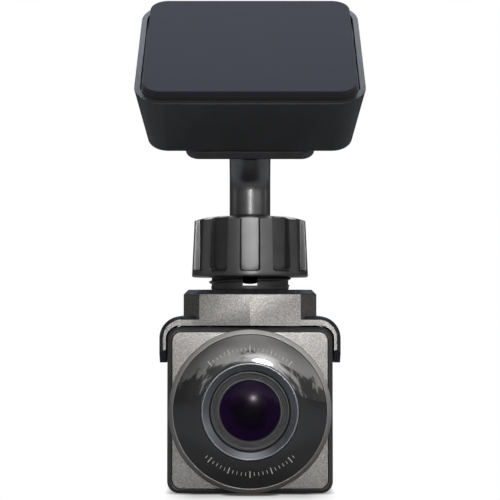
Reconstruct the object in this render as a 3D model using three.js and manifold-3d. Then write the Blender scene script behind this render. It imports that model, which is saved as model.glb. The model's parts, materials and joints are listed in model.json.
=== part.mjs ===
// A small square dash camera that hangs from a tilted windscreen mount by a clamped ball joint.
// Millimetres. The camera looks along -Y, +X is to the right of someone facing its lens, +Z is up.
// Everything is laid out about the lens axis at the front face plate, and the finished group is
// moved so that the origin is the middle of the adhesive face that sticks to the windscreen.
import * as THREE from "three";
import { mergeVertices } from "three/addons/utils/BufferGeometryUtils.js";
import Module from "manifold-3d";

const wasm = await Module();
wasm.setup();

// ---- Driving dimensions ----------------------------------------------------------------------

const GAP = 0.3; // clearance between pieces that lie against each other
const BEYOND = 1; // how far a cutter runs past the face it opens

// Camera housing: a square tube, closed in front by a plate and behind by a cover
const BODY = 36;
const BODY_CORNER = 2.6;
const BODY_CHAMFER = 0.8;
const BODY_DEPTH = 36;
const COVER_THICKNESS = 2;
const COVER_FRONT = BODY_DEPTH - COVER_THICKNESS;
const HOUSING_BACK = COVER_FRONT - GAP;
const WALL = 1.6;
const CAVITY = BODY - 2 * WALL;
const CAVITY_FRONT = 4.2;
const PLATE = 33.7;
const PLATE_CORNER = 2;
const PLATE_THICKNESS = 1.5;
const LENS_HOLE = 14.4;
const POST = 13.9; // screw posts stand this far out from the lens axis, both ways
const POST_RADIUS = 2.4;

// Lens front, by radius; depths are measured back from the face plate, so in front is negative
const TRIM_RADIUS = 17.6;
const TRIM_BORE = 16.5;
const FASCIA_BORE = 10.65;
const FUNNEL_RADIUS = 10.4;
const FUNNEL_BORE = 8.7;
const RETAINER_RADIUS = 8.6;
const RETAINER_BORE = 6.7;
const GLASS_RADIUS = 6.4;
const TRIM_FRONT = -2.7;
const FUNNEL_FRONT = -3.8;
const THREAD_RADIUS = 6; // of the lens barrel's rear half

// Circuit boards, by the depth of their front faces
const BOARD_THICKNESS = 1;
const SENSOR_BOARD = 19.7;
const MAIN_BOARD = 24.5;
const MAIN_BOARD_BACK = MAIN_BOARD + BOARD_THICKNESS;

// Saddle that straddles the top of the housing, and the neck block that rises from it
const SADDLE_HALF = 19.8;
const SADDLE_TOP = 20.4;
const SADDLE_END = 10.2;
const SADDLE_CORNER = 4.8;
const SADDLE_INNER = BODY / 2 + GAP;
const SADDLE_FRONT = 1;
const SADDLE_BACK = 35;
const ARM_SLOPE_TOP = 13; // the arms' lower front corners are cut back from this height
const BLOCK_HALF = 14.6;
const FACET_HALF = 11.05;
const FACET_SETBACK = 2.6;
const RIDGE = 1.2; // how far the ridge between the two front facets stands forward
const BLOCK_TOP = 26.2;
const BLOCK_CHAMFER = 1.1;

// Ball joint: everything here is round about a vertical line through the middle of the housing
const NECK_Y = 18.8;
const BALL_Z = 34;
const BALL_RADIUS = 6.4;
const SEAT_INNER = 6.6;
const SEAT_OUTER = 6.95;
const SOCKET_RADIUS = 7.15;
const SOCKET_LIP = 52; // degrees down from the top of the ball
const SOCKET_FOOT = 143;
const COLLET_RADIUS = 9.3;
const COLLET_SLOT = 3.4;
const COLLET_TOP = 38.6;
const SLOT_FLOOR = 27.2;
const SPIGOT_RADIUS = 7;
const SPIGOT_BOTTOM = 22.7;

// Clamp nut, fluted for the fingers
const NUT_BOTTOM = 29.15;
const NUT_TOP = 42.8;
const NUT_FOOT_RADIUS = 13.4;
const NUT_SHOULDER_RADIUS = 12.8;
const NUT_LAND_RADIUS = 10.6;
const NUT_BORE = 9.86;
const NUT_SHELF = 40.6;
const FLUTES = 11;
const FLUTE_WIDTH = 4.7;
const FLUTE_DEPTH = 1.2;
const FLUTE_BOTTOM = 30.3;
const RING_BORE = 8.5;
const RING_RADIUS = 9.5;
const RING_BOTTOM = 39.2;
const RING_TOP = 40.3;

// Stem: a bent rod with a necked lower end that carries the ball
const STEM_RADIUS = 4.71;
const NECK_RADIUS = 3.2;
const STEM_BOTTOM = 43.2;
const BEND_Z = 52;
const BEND_REACH = 1.7; // length of each leg that the bend takes up
const STEM_TOP = 8.54; // length of the leaning leg beyond the bend's corner

// Windscreen mount: a hollow tapered block, leaning back as a windscreen does
const MOUNT_LEAN = THREE.MathUtils.degToRad(41.5);
const RIM_Y = 11.75;
const RIM_Z = 80.26;
const RIM = [50.9, 42.6, 6.9]; // width, height and corner radius of the open front
const BLOCK_BACK = [45.7, 37.6, 4];
const MOUNT_DEPTH = 14.6;
const MOUNT_WALL = 1.9;
const LEDGE = [47.5, 40.1, 4.6];
const LEDGE_DEPTH = 1.5;
const CARRIER = [46.9, 39.5, 4.2];
const CARRIER_TOP = 0.7;
const PAD = [46.8, 39.4, 4.1];
const PAD_TOP = 2.1;
const FOOT = [29, 24, 3];
const FOOT_Y = -6.5;
const FOOT_THICKNESS = 2.1;
const STEM_FOOT_Y = -13.4; // where the stem meets the foot, down the slope from its middle

// Moving pieces of the camera
const EVENT_BUTTON = { x: 7.5, z: 5.5, radius: 3, flange: 3.8, proud: 0.6 };
const POWER_BUTTON = { y: 22, z: -5, length: 8, height: 2.8, proud: 0.6 };
const CARD = { length: 15, width: 11, thickness: 0.9, x: 3.4, y: 28, z: -4.4 };
const USB = { x: -4.8, z: -13, width: 8.9, height: 3.2 };
const SPEAKER = { x: -8, z: 1, radius: 5.2 };
const LIGHT = { x: 13.2, z: 5.5, radius: 0.9 };

// ---- Shapes ----------------------------------------------------------------------------------

// Turns a closed geometry into a solid that can be cut and joined, whichever way it was wound.
function solid(geometry) {
  const loose = geometry.index ? geometry.toNonIndexed() : geometry;
  const bare = new THREE.BufferGeometry();
  bare.setAttribute("position", loose.getAttribute("position"));
  const merged = mergeVertices(bare, 1e-4);
  const at = merged.getAttribute("position");
  const corners = [new THREE.Vector3(), new THREE.Vector3(), new THREE.Vector3()];
  const triangles = [];
  let volume = 0;
  for (let i = 0; i < merged.index.count; i += 3) {
    const triangle = [0, 1, 2].map((k) => merged.index.getX(i + k));
    if (new Set(triangle).size < 3) continue;
    triangles.push(triangle);
    const [a, b, c] = corners.map((v, k) => v.fromBufferAttribute(at, triangle[k]));
    volume += a.dot(b.cross(c));
  }
  if (volume < 0) triangles.forEach((triangle) => triangle.reverse());
  const triVerts = new Uint32Array(triangles.flat());
  return new wasm.Manifold(new wasm.Mesh({ numProp: 3, vertProperties: at.array, triVerts }));
}

function geometryOf(made) {
  const { vertProperties, triVerts } = made.getMesh();
  const geometry = new THREE.BufferGeometry();
  geometry.setAttribute("position", new THREE.BufferAttribute(vertProperties, 3));
  geometry.setIndex(new THREE.BufferAttribute(triVerts, 1));
  const faceted = geometry.toNonIndexed();
  faceted.computeVertexNormals();
  return faceted;
}

function roundedRect(width, height, radius, x = 0, y = 0) {
  const [left, right] = [x - width / 2 + radius, x + width / 2 - radius];
  const [low, high] = [y - height / 2 + radius, y + height / 2 - radius];
  const quarter = Math.PI / 2;
  const shape = new THREE.Shape();
  shape.absarc(right, low, radius, -quarter, 0);
  shape.absarc(right, high, radius, 0, quarter);
  shape.absarc(left, high, radius, quarter, 2 * quarter);
  shape.absarc(left, low, radius, 2 * quarter, 3 * quarter);
  return shape;
}

function polygon(points) {
  return new THREE.Shape(points.map(([x, y]) => new THREE.Vector2(x, y)));
}

// An outline made thick, from 0 to depth, with a chamfer round both ends.
function thick(shape, depth, chamfer) {
  return new THREE.ExtrudeGeometry(shape, {
    depth: depth - 2 * chamfer,
    curveSegments: 3,
    bevelEnabled: chamfer > 0,
    bevelThickness: chamfer,
    bevelSize: chamfer,
    bevelOffset: -chamfer,
    bevelSegments: 1,
  }).translate(0, 0, chamfer);
}

// The outline lies level and rises from one height to another.
function rising(shape, from, to, chamfer = 0) {
  return solid(thick(shape, to - from, chamfer).translate(0, 0, from));
}

// The outline stands facing the front and runs back from one depth to another.
function running(shape, from, to, chamfer = 0) {
  return solid(thick(shape, to - from, chamfer).rotateX(Math.PI / 2).translate(0, to, 0));
}

// The outline (depth, height) stands facing the side and runs across from one x to another.
function crossing(shape, from, to, chamfer = 0) {
  const across = thick(shape, to - from, chamfer).rotateY(Math.PI / 2).rotateX(Math.PI / 2);
  return solid(across.translate(from, 0, 0));
}

function box([x0, x1], [y0, y1], [z0, z1]) {
  const block = new THREE.BoxGeometry(x1 - x0, y1 - y0, z1 - z0);
  return solid(block.translate((x0 + x1) / 2, (y0 + y1) / 2, (z0 + z1) / 2));
}

function lathe(profile, segments) {
  return new THREE.LatheGeometry(profile.map(([r, t]) => new THREE.Vector2(r, t)), segments);
}

function closed(profile) {
  return [...profile, profile[0]];
}

// Turned about a line that runs back from the front: points are (radius, depth).
function turnedBack(profile, segments, x = 0, z = 0) {
  return solid(lathe(profile, segments).translate(x, 0, z));
}

// Turned about an upright line: points are (radius, height).
function turnedUp(profile, segments, x = 0, y = NECK_Y) {
  return solid(lathe(profile, segments).rotateX(Math.PI / 2).translate(x, y, 0));
}

function rod(radius, from, to) {
  return [[0, from], [radius, from], [radius, to], [0, to]];
}

// Points along an arc about the ball's centre, by degrees down from its top.
function ballArc(radius, from, to, steps) {
  return Array.from({ length: steps + 1 }, (_, i) => {
    const angle = THREE.MathUtils.degToRad(from + ((to - from) * i) / steps);
    return [radius * Math.sin(angle), BALL_Z + radius * Math.cos(angle)];
  });
}

// A solid that blends from one rounded rectangle to another, each [width, height, radius] at a height.
function tapered(lower, from, upper, to) {
  const loops = [[lower, from], [upper, to]].map(([[width, height, radius], z]) =>
    roundedRect(width, height, radius).getPoints(4).map((p) => new THREE.Vector3(p.x, p.y, z)));
  const count = loops[0].length;
  const triangles = [];
  for (let i = 0; i < count; i += 1) {
    const next = (i + 1) % count;
    const [a, b, c, d] = [loops[0][i], loops[0][next], loops[1][next], loops[1][i]];
    triangles.push(a, b, c, a, c, d);
  }
  for (let i = 1; i < count - 1; i += 1) {
    triangles.push(loops[0][0], loops[0][i + 1], loops[0][i]);
    triangles.push(loops[1][0], loops[1][i], loops[1][i + 1]);
  }
  return solid(new THREE.BufferGeometry().setFromPoints(triangles));
}

function plate([width, height, radius], from, to, chamfer = 0, y = 0) {
  return rising(roundedRect(width, height, radius, 0, y), from, to, chamfer);
}

// ---- Materials -------------------------------------------------------------------------------

function finish(color, roughness, metalness) {
  return new THREE.MeshStandardMaterial({ color, roughness, metalness });
}

const foam = finish(0x43444f, 0.8, 0);
const slatePlastic = finish(0x3d4048, 0.55, 0);
const blackPlastic = finish(0x2c2d30, 0.5, 0);
const darkAlloy = finish(0x4b4d52, 0.35, 0.8);
const sealant = finish(0x18181a, 0.7, 0);
const sparklePaint = finish(0x969390, 0.45, 0.6);
const trimMetal = finish(0x8a8a8e, 0.3, 0.8);
const glossBlack = finish(0x0c0c0e, 0.08, 0);
const lensGlass = finish(0x180826, 0.03, 0);
const clearPlastic = finish(0xd8e0e8, 0.2, 0);
const steel = finish(0x8c8f93, 0.3, 0.9);
const board = finish(0x1c4a2c, 0.6, 0);
const chipPlastic = finish(0x202124, 0.5, 0);
const aluminium = finish(0xb4b6b8, 0.35, 0.9);

// ---- Assembly --------------------------------------------------------------------------------

const dashCamera = new THREE.Group();
const camera = new THREE.Group();
const mount = new THREE.Group();
dashCamera.add(camera);
camera.add(mount);

function add(group, name, made, material) {
  const mesh = new THREE.Mesh(geometryOf(made), material);
  mesh.name = name;
  group.add(mesh);
}

const fourCorners = [[-1, -1], [1, -1], [1, 1], [-1, 1]];

// ---- Windscreen mount, in its own leaning frame: z is out of the adhesive face, y is up the slope

mount.position.set(0, RIM_Y, RIM_Z);
mount.rotation.x = MOUNT_LEAN;

const screwHeadOnFoot = { radius: 2.6, thickness: 1.6, shank: 1.5, clearance: 1.8 };
const footScrewPlaces = [[-9.5, -4], [9.5, -4]];
const mountFloor = -MOUNT_DEPTH + MOUNT_WALL;
const footTop = -MOUNT_DEPTH - GAP;
const footBottom = footTop - FOOT_THICKNESS;

function makeBracket() {
  const outside = tapered(BLOCK_BACK, -MOUNT_DEPTH, RIM, 0);
  const inner = ([width, height, radius]) => [
    width - 2 * MOUNT_WALL, height - 2 * MOUNT_WALL, radius - 1.4];
  const ledge = plate(LEDGE, -LEDGE_DEPTH, BEYOND);
  const hollow = tapered(inner(BLOCK_BACK), mountFloor, inner(LEDGE), BEYOND);
  const holes = footScrewPlaces.concat([[0, STEM_FOOT_Y]]).map(([x, y], i) => {
    const radius = i < 2 ? 1.3 : screwHeadOnFoot.clearance;
    return turnedUp(rod(radius, -MOUNT_DEPTH - BEYOND, mountFloor + BEYOND), 16, x, y);
  });
  return holes.reduce((made, hole) => made.subtract(hole), outside.subtract(ledge).subtract(hollow));
}

function makeFoot() {
  const slab = plate(FOOT, footBottom, footTop, 0.5, FOOT_Y);
  const centre = turnedUp(rod(screwHeadOnFoot.clearance, footBottom - BEYOND, 0), 16, 0, STEM_FOOT_Y);
  const pilots = footScrewPlaces.map(([x, y]) => turnedUp(rod(1.3, footBottom + 0.5, 0), 12, x, y));
  return pilots.reduce((made, pilot) => made.subtract(pilot), slab.subtract(centre));
}

function headedScrew(headRadius, headBottom, headTop, shankRadius, tip, x, y) {
  const profile = [[0, tip], [shankRadius, tip], [shankRadius, headBottom],
    [headRadius, headBottom], [headRadius, headTop], [0, headTop]];
  return turnedUp(profile, 16, x, y);
}

add(mount, "adhesive_pad", plate(PAD, CARRIER_TOP + GAP, PAD_TOP), foam);
add(mount, "pad_carrier", plate(CARRIER, GAP - LEDGE_DEPTH, CARRIER_TOP), sealant);
add(mount, "bracket_shell", makeBracket(), slatePlastic);
add(mount, "stem_foot", makeFoot(), blackPlastic);
footScrewPlaces.forEach(([x, y], i) => {
  const head = mountFloor + GAP;
  const made = headedScrew(2, head, head + 1.3, 1, footBottom + 0.8, x, y);
  add(mount, `foot_screw_${i + 1}`, made, steel);
});
const stemScrewHead = mountFloor + GAP;
add(mount, "stem_screw", headedScrew(screwHeadOnFoot.radius, stemScrewHead,
  stemScrewHead + screwHeadOnFoot.thickness, screwHeadOnFoot.shank, footBottom - 5, 0,
  STEM_FOOT_Y), steel);

// ---- Ball and stem, one turned and bent rod ---------------------------------------------------

function makeStem() {
  const lean = new THREE.Vector3(0, -Math.sin(MOUNT_LEAN), Math.cos(MOUNT_LEAN));
  const corner = new THREE.Vector3(0, NECK_Y, BEND_Z);
  const along = (distance) => corner.clone().addScaledVector(lean, distance);
  const below = new THREE.Vector3(0, NECK_Y, BEND_Z - BEND_REACH);
  const path = new THREE.CurvePath();
  path.add(new THREE.LineCurve3(new THREE.Vector3(0, NECK_Y, STEM_BOTTOM), below));
  path.add(new THREE.QuadraticBezierCurve3(below, corner, along(BEND_REACH)));
  path.add(new THREE.LineCurve3(along(BEND_REACH), along(STEM_TOP)));
  const section = new THREE.Shape().absarc(0, 0, STEM_RADIUS, 0, 2 * Math.PI);
  const bent = new THREE.ExtrudeGeometry(section, {
    steps: 12, extrudePath: path, curveSegments: 10, bevelEnabled: false });
  const neckAngle = THREE.MathUtils.radToDeg(Math.asin(NECK_RADIUS / BALL_RADIUS));
  const ball = [[0, BALL_Z - BALL_RADIUS], ...ballArc(BALL_RADIUS, 168, neckAngle, 11)];
  const neck = [[NECK_RADIUS, STEM_BOTTOM + BEYOND], [0, STEM_BOTTOM + BEYOND]];
  const hole = new THREE.CylinderGeometry(
    screwHeadOnFoot.clearance, screwHeadOnFoot.clearance, 14, 16).rotateX(Math.PI / 2);
  const drilled = solid(hole.rotateX(MOUNT_LEAN).translate(...along(STEM_TOP + 1)));
  return solid(bent).add(turnedUp([...ball, ...neck], 20)).subtract(drilled);
}

add(camera, "ball_stem", makeStem(), darkAlloy);

// ---- Ball seats, collet, thrust ring and nut --------------------------------------------------

function makeSeat(from, to) {
  const inside = ballArc(SEAT_INNER, from, to, 2);
  const outside = ballArc(SEAT_OUTER, to, from, 2);
  return turnedUp(closed([...inside, ...outside]), 24);
}

function makeCollet() {
  const profile = [[0, SPIGOT_BOTTOM], [SPIGOT_RADIUS, SPIGOT_BOTTOM],
    [SPIGOT_RADIUS, BLOCK_TOP + GAP], [COLLET_RADIUS, BLOCK_TOP + GAP],
    [COLLET_RADIUS, COLLET_TOP - 1.2], [COLLET_RADIUS - 0.9, COLLET_TOP], [6.3, COLLET_TOP],
    ...ballArc(SOCKET_RADIUS, SOCKET_LIP, SOCKET_FOOT, 9),
    [SOCKET_RADIUS * Math.sin(THREE.MathUtils.degToRad(SOCKET_FOOT)), SLOT_FLOOR - 0.2],
    [0, SLOT_FLOOR - 0.2]];
  const half = COLLET_SLOT / 2;
  const reach = COLLET_RADIUS + BEYOND;
  const height = [SLOT_FLOOR, COLLET_TOP + BEYOND];
  const frontToBack = box([-half, half], [NECK_Y - reach, NECK_Y + reach], height);
  const sideToSide = box([-reach, reach], [NECK_Y - half, NECK_Y + half], height);
  const pilot = turnedUp(rod(1.8, SPIGOT_BOTTOM - BEYOND, BLOCK_TOP + 0.1), 16);
  return turnedUp(profile, 28).subtract(frontToBack).subtract(sideToSide).subtract(pilot);
}

function makeNut() {
  const profile = [[NUT_BORE, NUT_BOTTOM], [NUT_FOOT_RADIUS - 0.4, NUT_BOTTOM],
    [NUT_FOOT_RADIUS, NUT_BOTTOM + 0.4], [NUT_FOOT_RADIUS, NUT_BOTTOM + 0.9],
    [NUT_SHOULDER_RADIUS, NUT_TOP - 0.7], [NUT_LAND_RADIUS, NUT_TOP],
    [RING_RADIUS, NUT_TOP], [RING_BORE + 0.2, NUT_SHELF], [NUT_BORE, NUT_SHELF]];
  const taper = Math.atan2(NUT_FOOT_RADIUS - NUT_SHOULDER_RADIUS, NUT_TOP - NUT_BOTTOM);
  const floor = (NUT_FOOT_RADIUS + NUT_SHOULDER_RADIUS) / 2 - FLUTE_DEPTH;
  const middle = (NUT_BOTTOM + NUT_TOP) / 2;
  const width = 2 * FLUTE_DEPTH + BEYOND;
  let nut = turnedUp(closed(profile), 4 * FLUTES);
  for (let i = 0; i < FLUTES; i += 1) {
    const slot = thick(roundedRect(FLUTE_WIDTH, width, 0.7), NUT_TOP, 0);
    slot.translate(0, -floor - width / 2, FLUTE_BOTTOM - middle).rotateX(-taper);
    slot.rotateZ((i * 2 * Math.PI) / FLUTES).translate(0, NECK_Y, middle);
    nut = nut.subtract(solid(slot));
  }
  return nut;
}

const thrustRing = closed([[RING_BORE, RING_BOTTOM], [RING_RADIUS, RING_BOTTOM],
  [RING_RADIUS, RING_TOP], [RING_BORE, RING_TOP]]);

add(camera, "lower_ball_seat", makeSeat(108, 128), sealant);
add(camera, "upper_ball_seat", makeSeat(56, 74), sealant);
add(camera, "split_collet", makeCollet(), blackPlastic);
add(camera, "thrust_ring", turnedUp(thrustRing, 24), steel);
add(camera, "clamp_nut", makeNut(), blackPlastic);

// ---- Saddle and neck block, one moulding ------------------------------------------------------

const saddleScrewPlaces = [[-9, 7.5], [9, 7.5], [9, 30], [-9, 30]];

function makeSaddle() {
  const arch = running(roundedRect(2 * SADDLE_HALF, 2 * SADDLE_TOP, SADDLE_CORNER),
    SADDLE_FRONT, SADDLE_BACK, 0.5);
  const housing = running(roundedRect(2 * SADDLE_INNER, 2 * SADDLE_INNER, BODY_CORNER + GAP),
    SADDLE_FRONT - BEYOND, SADDLE_BACK + BEYOND);
  const wide = [-SADDLE_HALF - BEYOND, SADDLE_HALF + BEYOND];
  const below = box(wide, [0, BODY_DEPTH], [-SADDLE_TOP - BEYOND, SADDLE_END]);
  const drop = ARM_SLOPE_TOP - SADDLE_END + BEYOND;
  const slope = crossing(polygon([[SADDLE_FRONT - BEYOND, ARM_SLOPE_TOP + BEYOND],
    [SADDLE_FRONT - BEYOND, ARM_SLOPE_TOP - drop], [SADDLE_FRONT + drop, ARM_SLOPE_TOP - drop]]),
  ...wide);
  const front = SADDLE_FRONT + FACET_SETBACK;
  const back = SADDLE_BACK - FACET_SETBACK;
  const plan = polygon([[-BLOCK_HALF, front], [-FACET_HALF, SADDLE_FRONT],
    [0, SADDLE_FRONT - RIDGE], [FACET_HALF, SADDLE_FRONT], [BLOCK_HALF, front],
    [BLOCK_HALF, back], [FACET_HALF, SADDLE_BACK], [0, SADDLE_BACK + RIDGE],
    [-FACET_HALF, SADDLE_BACK], [-BLOCK_HALF, back]]);
  const sunk = SADDLE_INNER - 2 * BLOCK_CHAMFER;
  const block = rising(plan, sunk, BLOCK_TOP, BLOCK_CHAMFER);
  const recess = turnedUp(rod(SPIGOT_RADIUS + GAP, SPIGOT_BOTTOM - GAP, BLOCK_TOP + BEYOND), 24);
  const screwHole = turnedUp([[0, SADDLE_INNER - BEYOND], [3.4, SADDLE_INNER - BEYOND],
    [3.4, 20.6], [1.8, 20.6], [1.8, SPIGOT_BOTTOM], [0, SPIGOT_BOTTOM]], 16);
  const pilots = saddleScrewPlaces.map(([x, y]) => turnedUp(rod(1.3, 18, 21.5), 12, x, y));
  const joined = arch.add(block).subtract(housing).subtract(below).subtract(slope);
  return pilots.reduce((made, pilot) => made.subtract(pilot), joined.subtract(recess).subtract(screwHole));
}

add(camera, "saddle", makeSaddle(), sparklePaint);
add(camera, "collet_screw", headedScrew(3.1, 20.3, 18.6, 1.5, 25.8, 0, NECK_Y), steel);
saddleScrewPlaces.forEach(([x, y], i) => {
  const made = headedScrew(2, BODY / 2 - WALL - GAP, BODY / 2 - WALL - GAP - 1.2, 1, 21, x, y);
  add(camera, `saddle_screw_${i + 1}`, made, steel);
});

// ---- Housing, face plate and rear cover -------------------------------------------------------

const cardSlot = { half: CARD.width / 2 + GAP, thickness: CARD.thickness + 0.8 };

function makeHousing() {
  const outside = running(roundedRect(BODY, BODY, BODY_CORNER), 0, BODY_DEPTH, BODY_CHAMFER)
    .subtract(box([-BODY, BODY], [HOUSING_BACK, BODY_DEPTH + BEYOND], [-BODY, BODY]));
  const recess = running(roundedRect(PLATE + 2 * GAP, PLATE + 2 * GAP, PLATE_CORNER + GAP),
    -BEYOND, PLATE_THICKNESS + GAP);
  const posts = fourCorners.map(([x, z]) => running(
    roundedRect(2 * POST_RADIUS + 1.6, 2 * POST_RADIUS + 1.6, POST_RADIUS, x * (POST + 1), z * (POST + 1)),
    CAVITY_FRONT - 0.5, HOUSING_BACK - GAP));
  const cavity = running(roundedRect(CAVITY, CAVITY, 1.6), CAVITY_FRONT, BODY_DEPTH + BEYOND);
  const room = posts.reduce((made, post) => made.subtract(post), cavity);
  const pilots = fourCorners.map(([x, z]) => turnedBack(
    rod(1, 24, BODY_DEPTH), 12, x * POST, z * POST));
  const lensHole = turnedBack(rod(LENS_HOLE, -BEYOND, CAVITY_FRONT + BEYOND), 36);
  const screwHoles = saddleScrewPlaces.map(([x, y]) => turnedUp(rod(1.3, 15, 19), 12, x, y));
  const slot = crossing(roundedRect(cardSlot.thickness, 2 * cardSlot.half, 0.4, CARD.y, CARD.z),
    BODY / 2 - WALL - BEYOND, BODY / 2 + BEYOND);
  const { y, z, length, height } = POWER_BUTTON;
  const buttonHole = crossing(roundedRect(length + 2 * GAP, height + 2 * GAP, 1.6, y, z),
    -BODY / 2 - BEYOND, WALL + BEYOND - BODY / 2);
  const cuts = [recess, room, ...pilots, lensHole, ...screwHoles, slot, buttonHole];
  return cuts.reduce((made, cut) => made.subtract(cut), outside);
}

function makeRearCover() {
  const outside = running(roundedRect(BODY, BODY, BODY_CORNER), COVER_FRONT - 2, BODY_DEPTH, 0.9)
    .subtract(box([-BODY, BODY], [0, COVER_FRONT], [-BODY, BODY]));
  const screws = fourCorners.map(([x, z]) => turnedBack([[0, 30], [1.3, 30],
    [1.3, COVER_FRONT + 0.7], [2, COVER_FRONT + 0.7], [2, BODY_DEPTH + BEYOND],
    [0, BODY_DEPTH + BEYOND]], 16, x * POST, z * POST));
  const through = (radius, x, z, segments) => turnedBack(
    rod(radius, COVER_FRONT - BEYOND, BODY_DEPTH + BEYOND), segments, x, z);
  const socket = running(roundedRect(USB.width + 1, USB.height + 1, 1.8, USB.x, USB.z),
    COVER_FRONT - BEYOND, BODY_DEPTH + BEYOND);
  const grille = [through(0.5, SPEAKER.x, SPEAKER.z, 8)];
  for (let i = 0; i < 6; i += 1) {
    const angle = (i * Math.PI) / 3;
    grille.push(through(0.5, SPEAKER.x + 2.2 * Math.cos(angle), SPEAKER.z + 2.2 * Math.sin(angle), 8));
  }
  const cuts = [...screws, socket, ...grille, through(0.6, 0, -6, 8),
    through(EVENT_BUTTON.radius + GAP, EVENT_BUTTON.x, EVENT_BUTTON.z, 24),
    through(LIGHT.radius + 0.2, LIGHT.x, LIGHT.z, 12)];
  return cuts.reduce((made, cut) => made.subtract(cut), outside);
}

const facePlate = running(roundedRect(PLATE, PLATE, PLATE_CORNER), 0, PLATE_THICKNESS, 0.2)
  .subtract(turnedBack(rod(LENS_HOLE, -BEYOND, PLATE_THICKNESS + BEYOND), 36));

add(camera, "main_housing", makeHousing(), blackPlastic);
add(camera, "front_face_plate", facePlate, sparklePaint);
add(camera, "rear_cover", makeRearCover(), blackPlastic);
fourCorners.forEach(([x, z], i) => {
  const profile = [[0, 27], [0.7, 27], [0.7, COVER_FRONT + 1], [1.7, COVER_FRONT + 1],
    [1.7, BODY_DEPTH - 0.1], [0, BODY_DEPTH - 0.1]];
  add(camera, `cover_screw_${i + 1}`, turnedBack(profile, 12, x * POST, z * POST), steel);
});

// ---- Lens, from the front back ----------------------------------------------------------------

const trimRing = closed([[TRIM_BORE, TRIM_FRONT], [TRIM_RADIUS - 0.35, TRIM_FRONT],
  [TRIM_RADIUS, TRIM_FRONT + 0.35], [TRIM_RADIUS, -GAP], [LENS_HOLE - 1, -GAP],
  [LENS_HOLE - 1, -1], [TRIM_BORE, -1]]);
const fascia = closed([[FASCIA_BORE, FUNNEL_FRONT + 0.1], [13.6, -3.3], [15.4, -2.9],
  [TRIM_BORE - 0.2, -2.5], [TRIM_BORE - 0.2, -1.3], [FASCIA_BORE, -1.3]]);
const funnel = closed([[FUNNEL_BORE + 1.4, FUNNEL_FRONT], [FUNNEL_RADIUS, FUNNEL_FRONT],
  [FUNNEL_RADIUS, -0.9], [13, -0.9], [13, 5], [FUNNEL_BORE, 5], [FUNNEL_BORE, -2.8]]);
const retainer = closed([[RETAINER_BORE + 0.5, -1.9], [RETAINER_RADIUS - 0.3, -1.9],
  [RETAINER_RADIUS, -1.6], [RETAINER_RADIUS, 1.5], [RETAINER_BORE, 1.5], [RETAINER_BORE, -0.9]]);
const frontGlass = [[0, -1.7], [2.2, -1.6], [4.4, -1.35], [GLASS_RADIUS, -0.95],
  [GLASS_RADIUS, 1.5], [0, 1.5]];
const barrel = closed([[RETAINER_BORE - 1, 1.9], [RETAINER_RADIUS, 1.9], [RETAINER_RADIUS, 6],
  [THREAD_RADIUS, 6], [THREAD_RADIUS, 16.6], [THREAD_RADIUS - 1.2, 16.6],
  [THREAD_RADIUS - 1.2, 6], [RETAINER_BORE - 1, 5]]);
const innerElement = [[0, 7.4], [4.4, 8], [4.4, 9.4], [0, 9.8]];
const rearElement = [[0, 12.6], [4.4, 13], [4.4, 14.6], [0, 15.6]];

add(camera, "trim_ring", turnedBack(trimRing, 40), trimMetal);
add(camera, "lens_fascia", turnedBack(fascia, 40), glossBlack);
add(camera, "funnel_ring", turnedBack(funnel, 36), blackPlastic);
add(camera, "retaining_ring", turnedBack(retainer, 32), blackPlastic);
add(camera, "front_glass", turnedBack(frontGlass, 28), lensGlass);
add(camera, "lens_barrel", turnedBack(barrel, 24), darkAlloy);
add(camera, "inner_element", turnedBack(innerElement, 20), lensGlass);
add(camera, "rear_element", turnedBack(rearElement, 20), lensGlass);

const holder = running(roundedRect(16, 16, 1), 9, SENSOR_BOARD - GAP)
  .subtract(turnedBack(rod(THREAD_RADIUS + GAP, 8, 22), 24));
add(camera, "lens_holder", holder, chipPlastic);
add(camera, "ir_filter", box([-4, 4], [16.9, 17.4], [-4, 4]), lensGlass);
add(camera, "image_sensor", box([-4, 4], [17.8, SENSOR_BOARD - GAP], [-4, 4]), chipPlastic);

// ---- Electronics ------------------------------------------------------------------------------

const sensorBoard = running(roundedRect(23, 23, 1), SENSOR_BOARD, SENSOR_BOARD + BOARD_THICKNESS);
const longWay = box([-10, 10], [MAIN_BOARD, MAIN_BOARD_BACK], [-15.5, 15.5]);
const wideWay = box([-14.9, 14.9], [MAIN_BOARD, MAIN_BOARD_BACK], [-10, 10]);
const BEHIND_BOARD = MAIN_BOARD_BACK + GAP;

function makeCardSocket() {
  const half = CARD.width / 2;
  const shell = box([CARD.x - 1.2, BODY / 2 - WALL - 0.5], [BEHIND_BOARD, BEHIND_BOARD + 3.6],
    [CARD.z - half - 1.3, CARD.z + half + 1.3]);
  const pocket = box([CARD.x - 0.5, BODY / 2], [CARD.y - cardSlot.thickness / 2,
    CARD.y + cardSlot.thickness / 2], [CARD.z - cardSlot.half, CARD.z + cardSlot.half]);
  return shell.subtract(pocket);
}

function makeUsbSocket() {
  const depth = [BEHIND_BOARD, COVER_FRONT + 1.2];
  const shell = running(roundedRect(USB.width, USB.height, 1.5, USB.x, USB.z), ...depth);
  const mouth = running(roundedRect(USB.width - 0.8, USB.height - 0.8, 1.1, USB.x, USB.z),
    depth[0] + 1.2, depth[1] + BEYOND);
  const tongue = box([USB.x - 3, USB.x + 3], [depth[0] + 1, depth[1] - 0.8],
    [USB.z - 0.35, USB.z + 0.35]);
  return shell.subtract(mouth).add(tongue);
}

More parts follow.
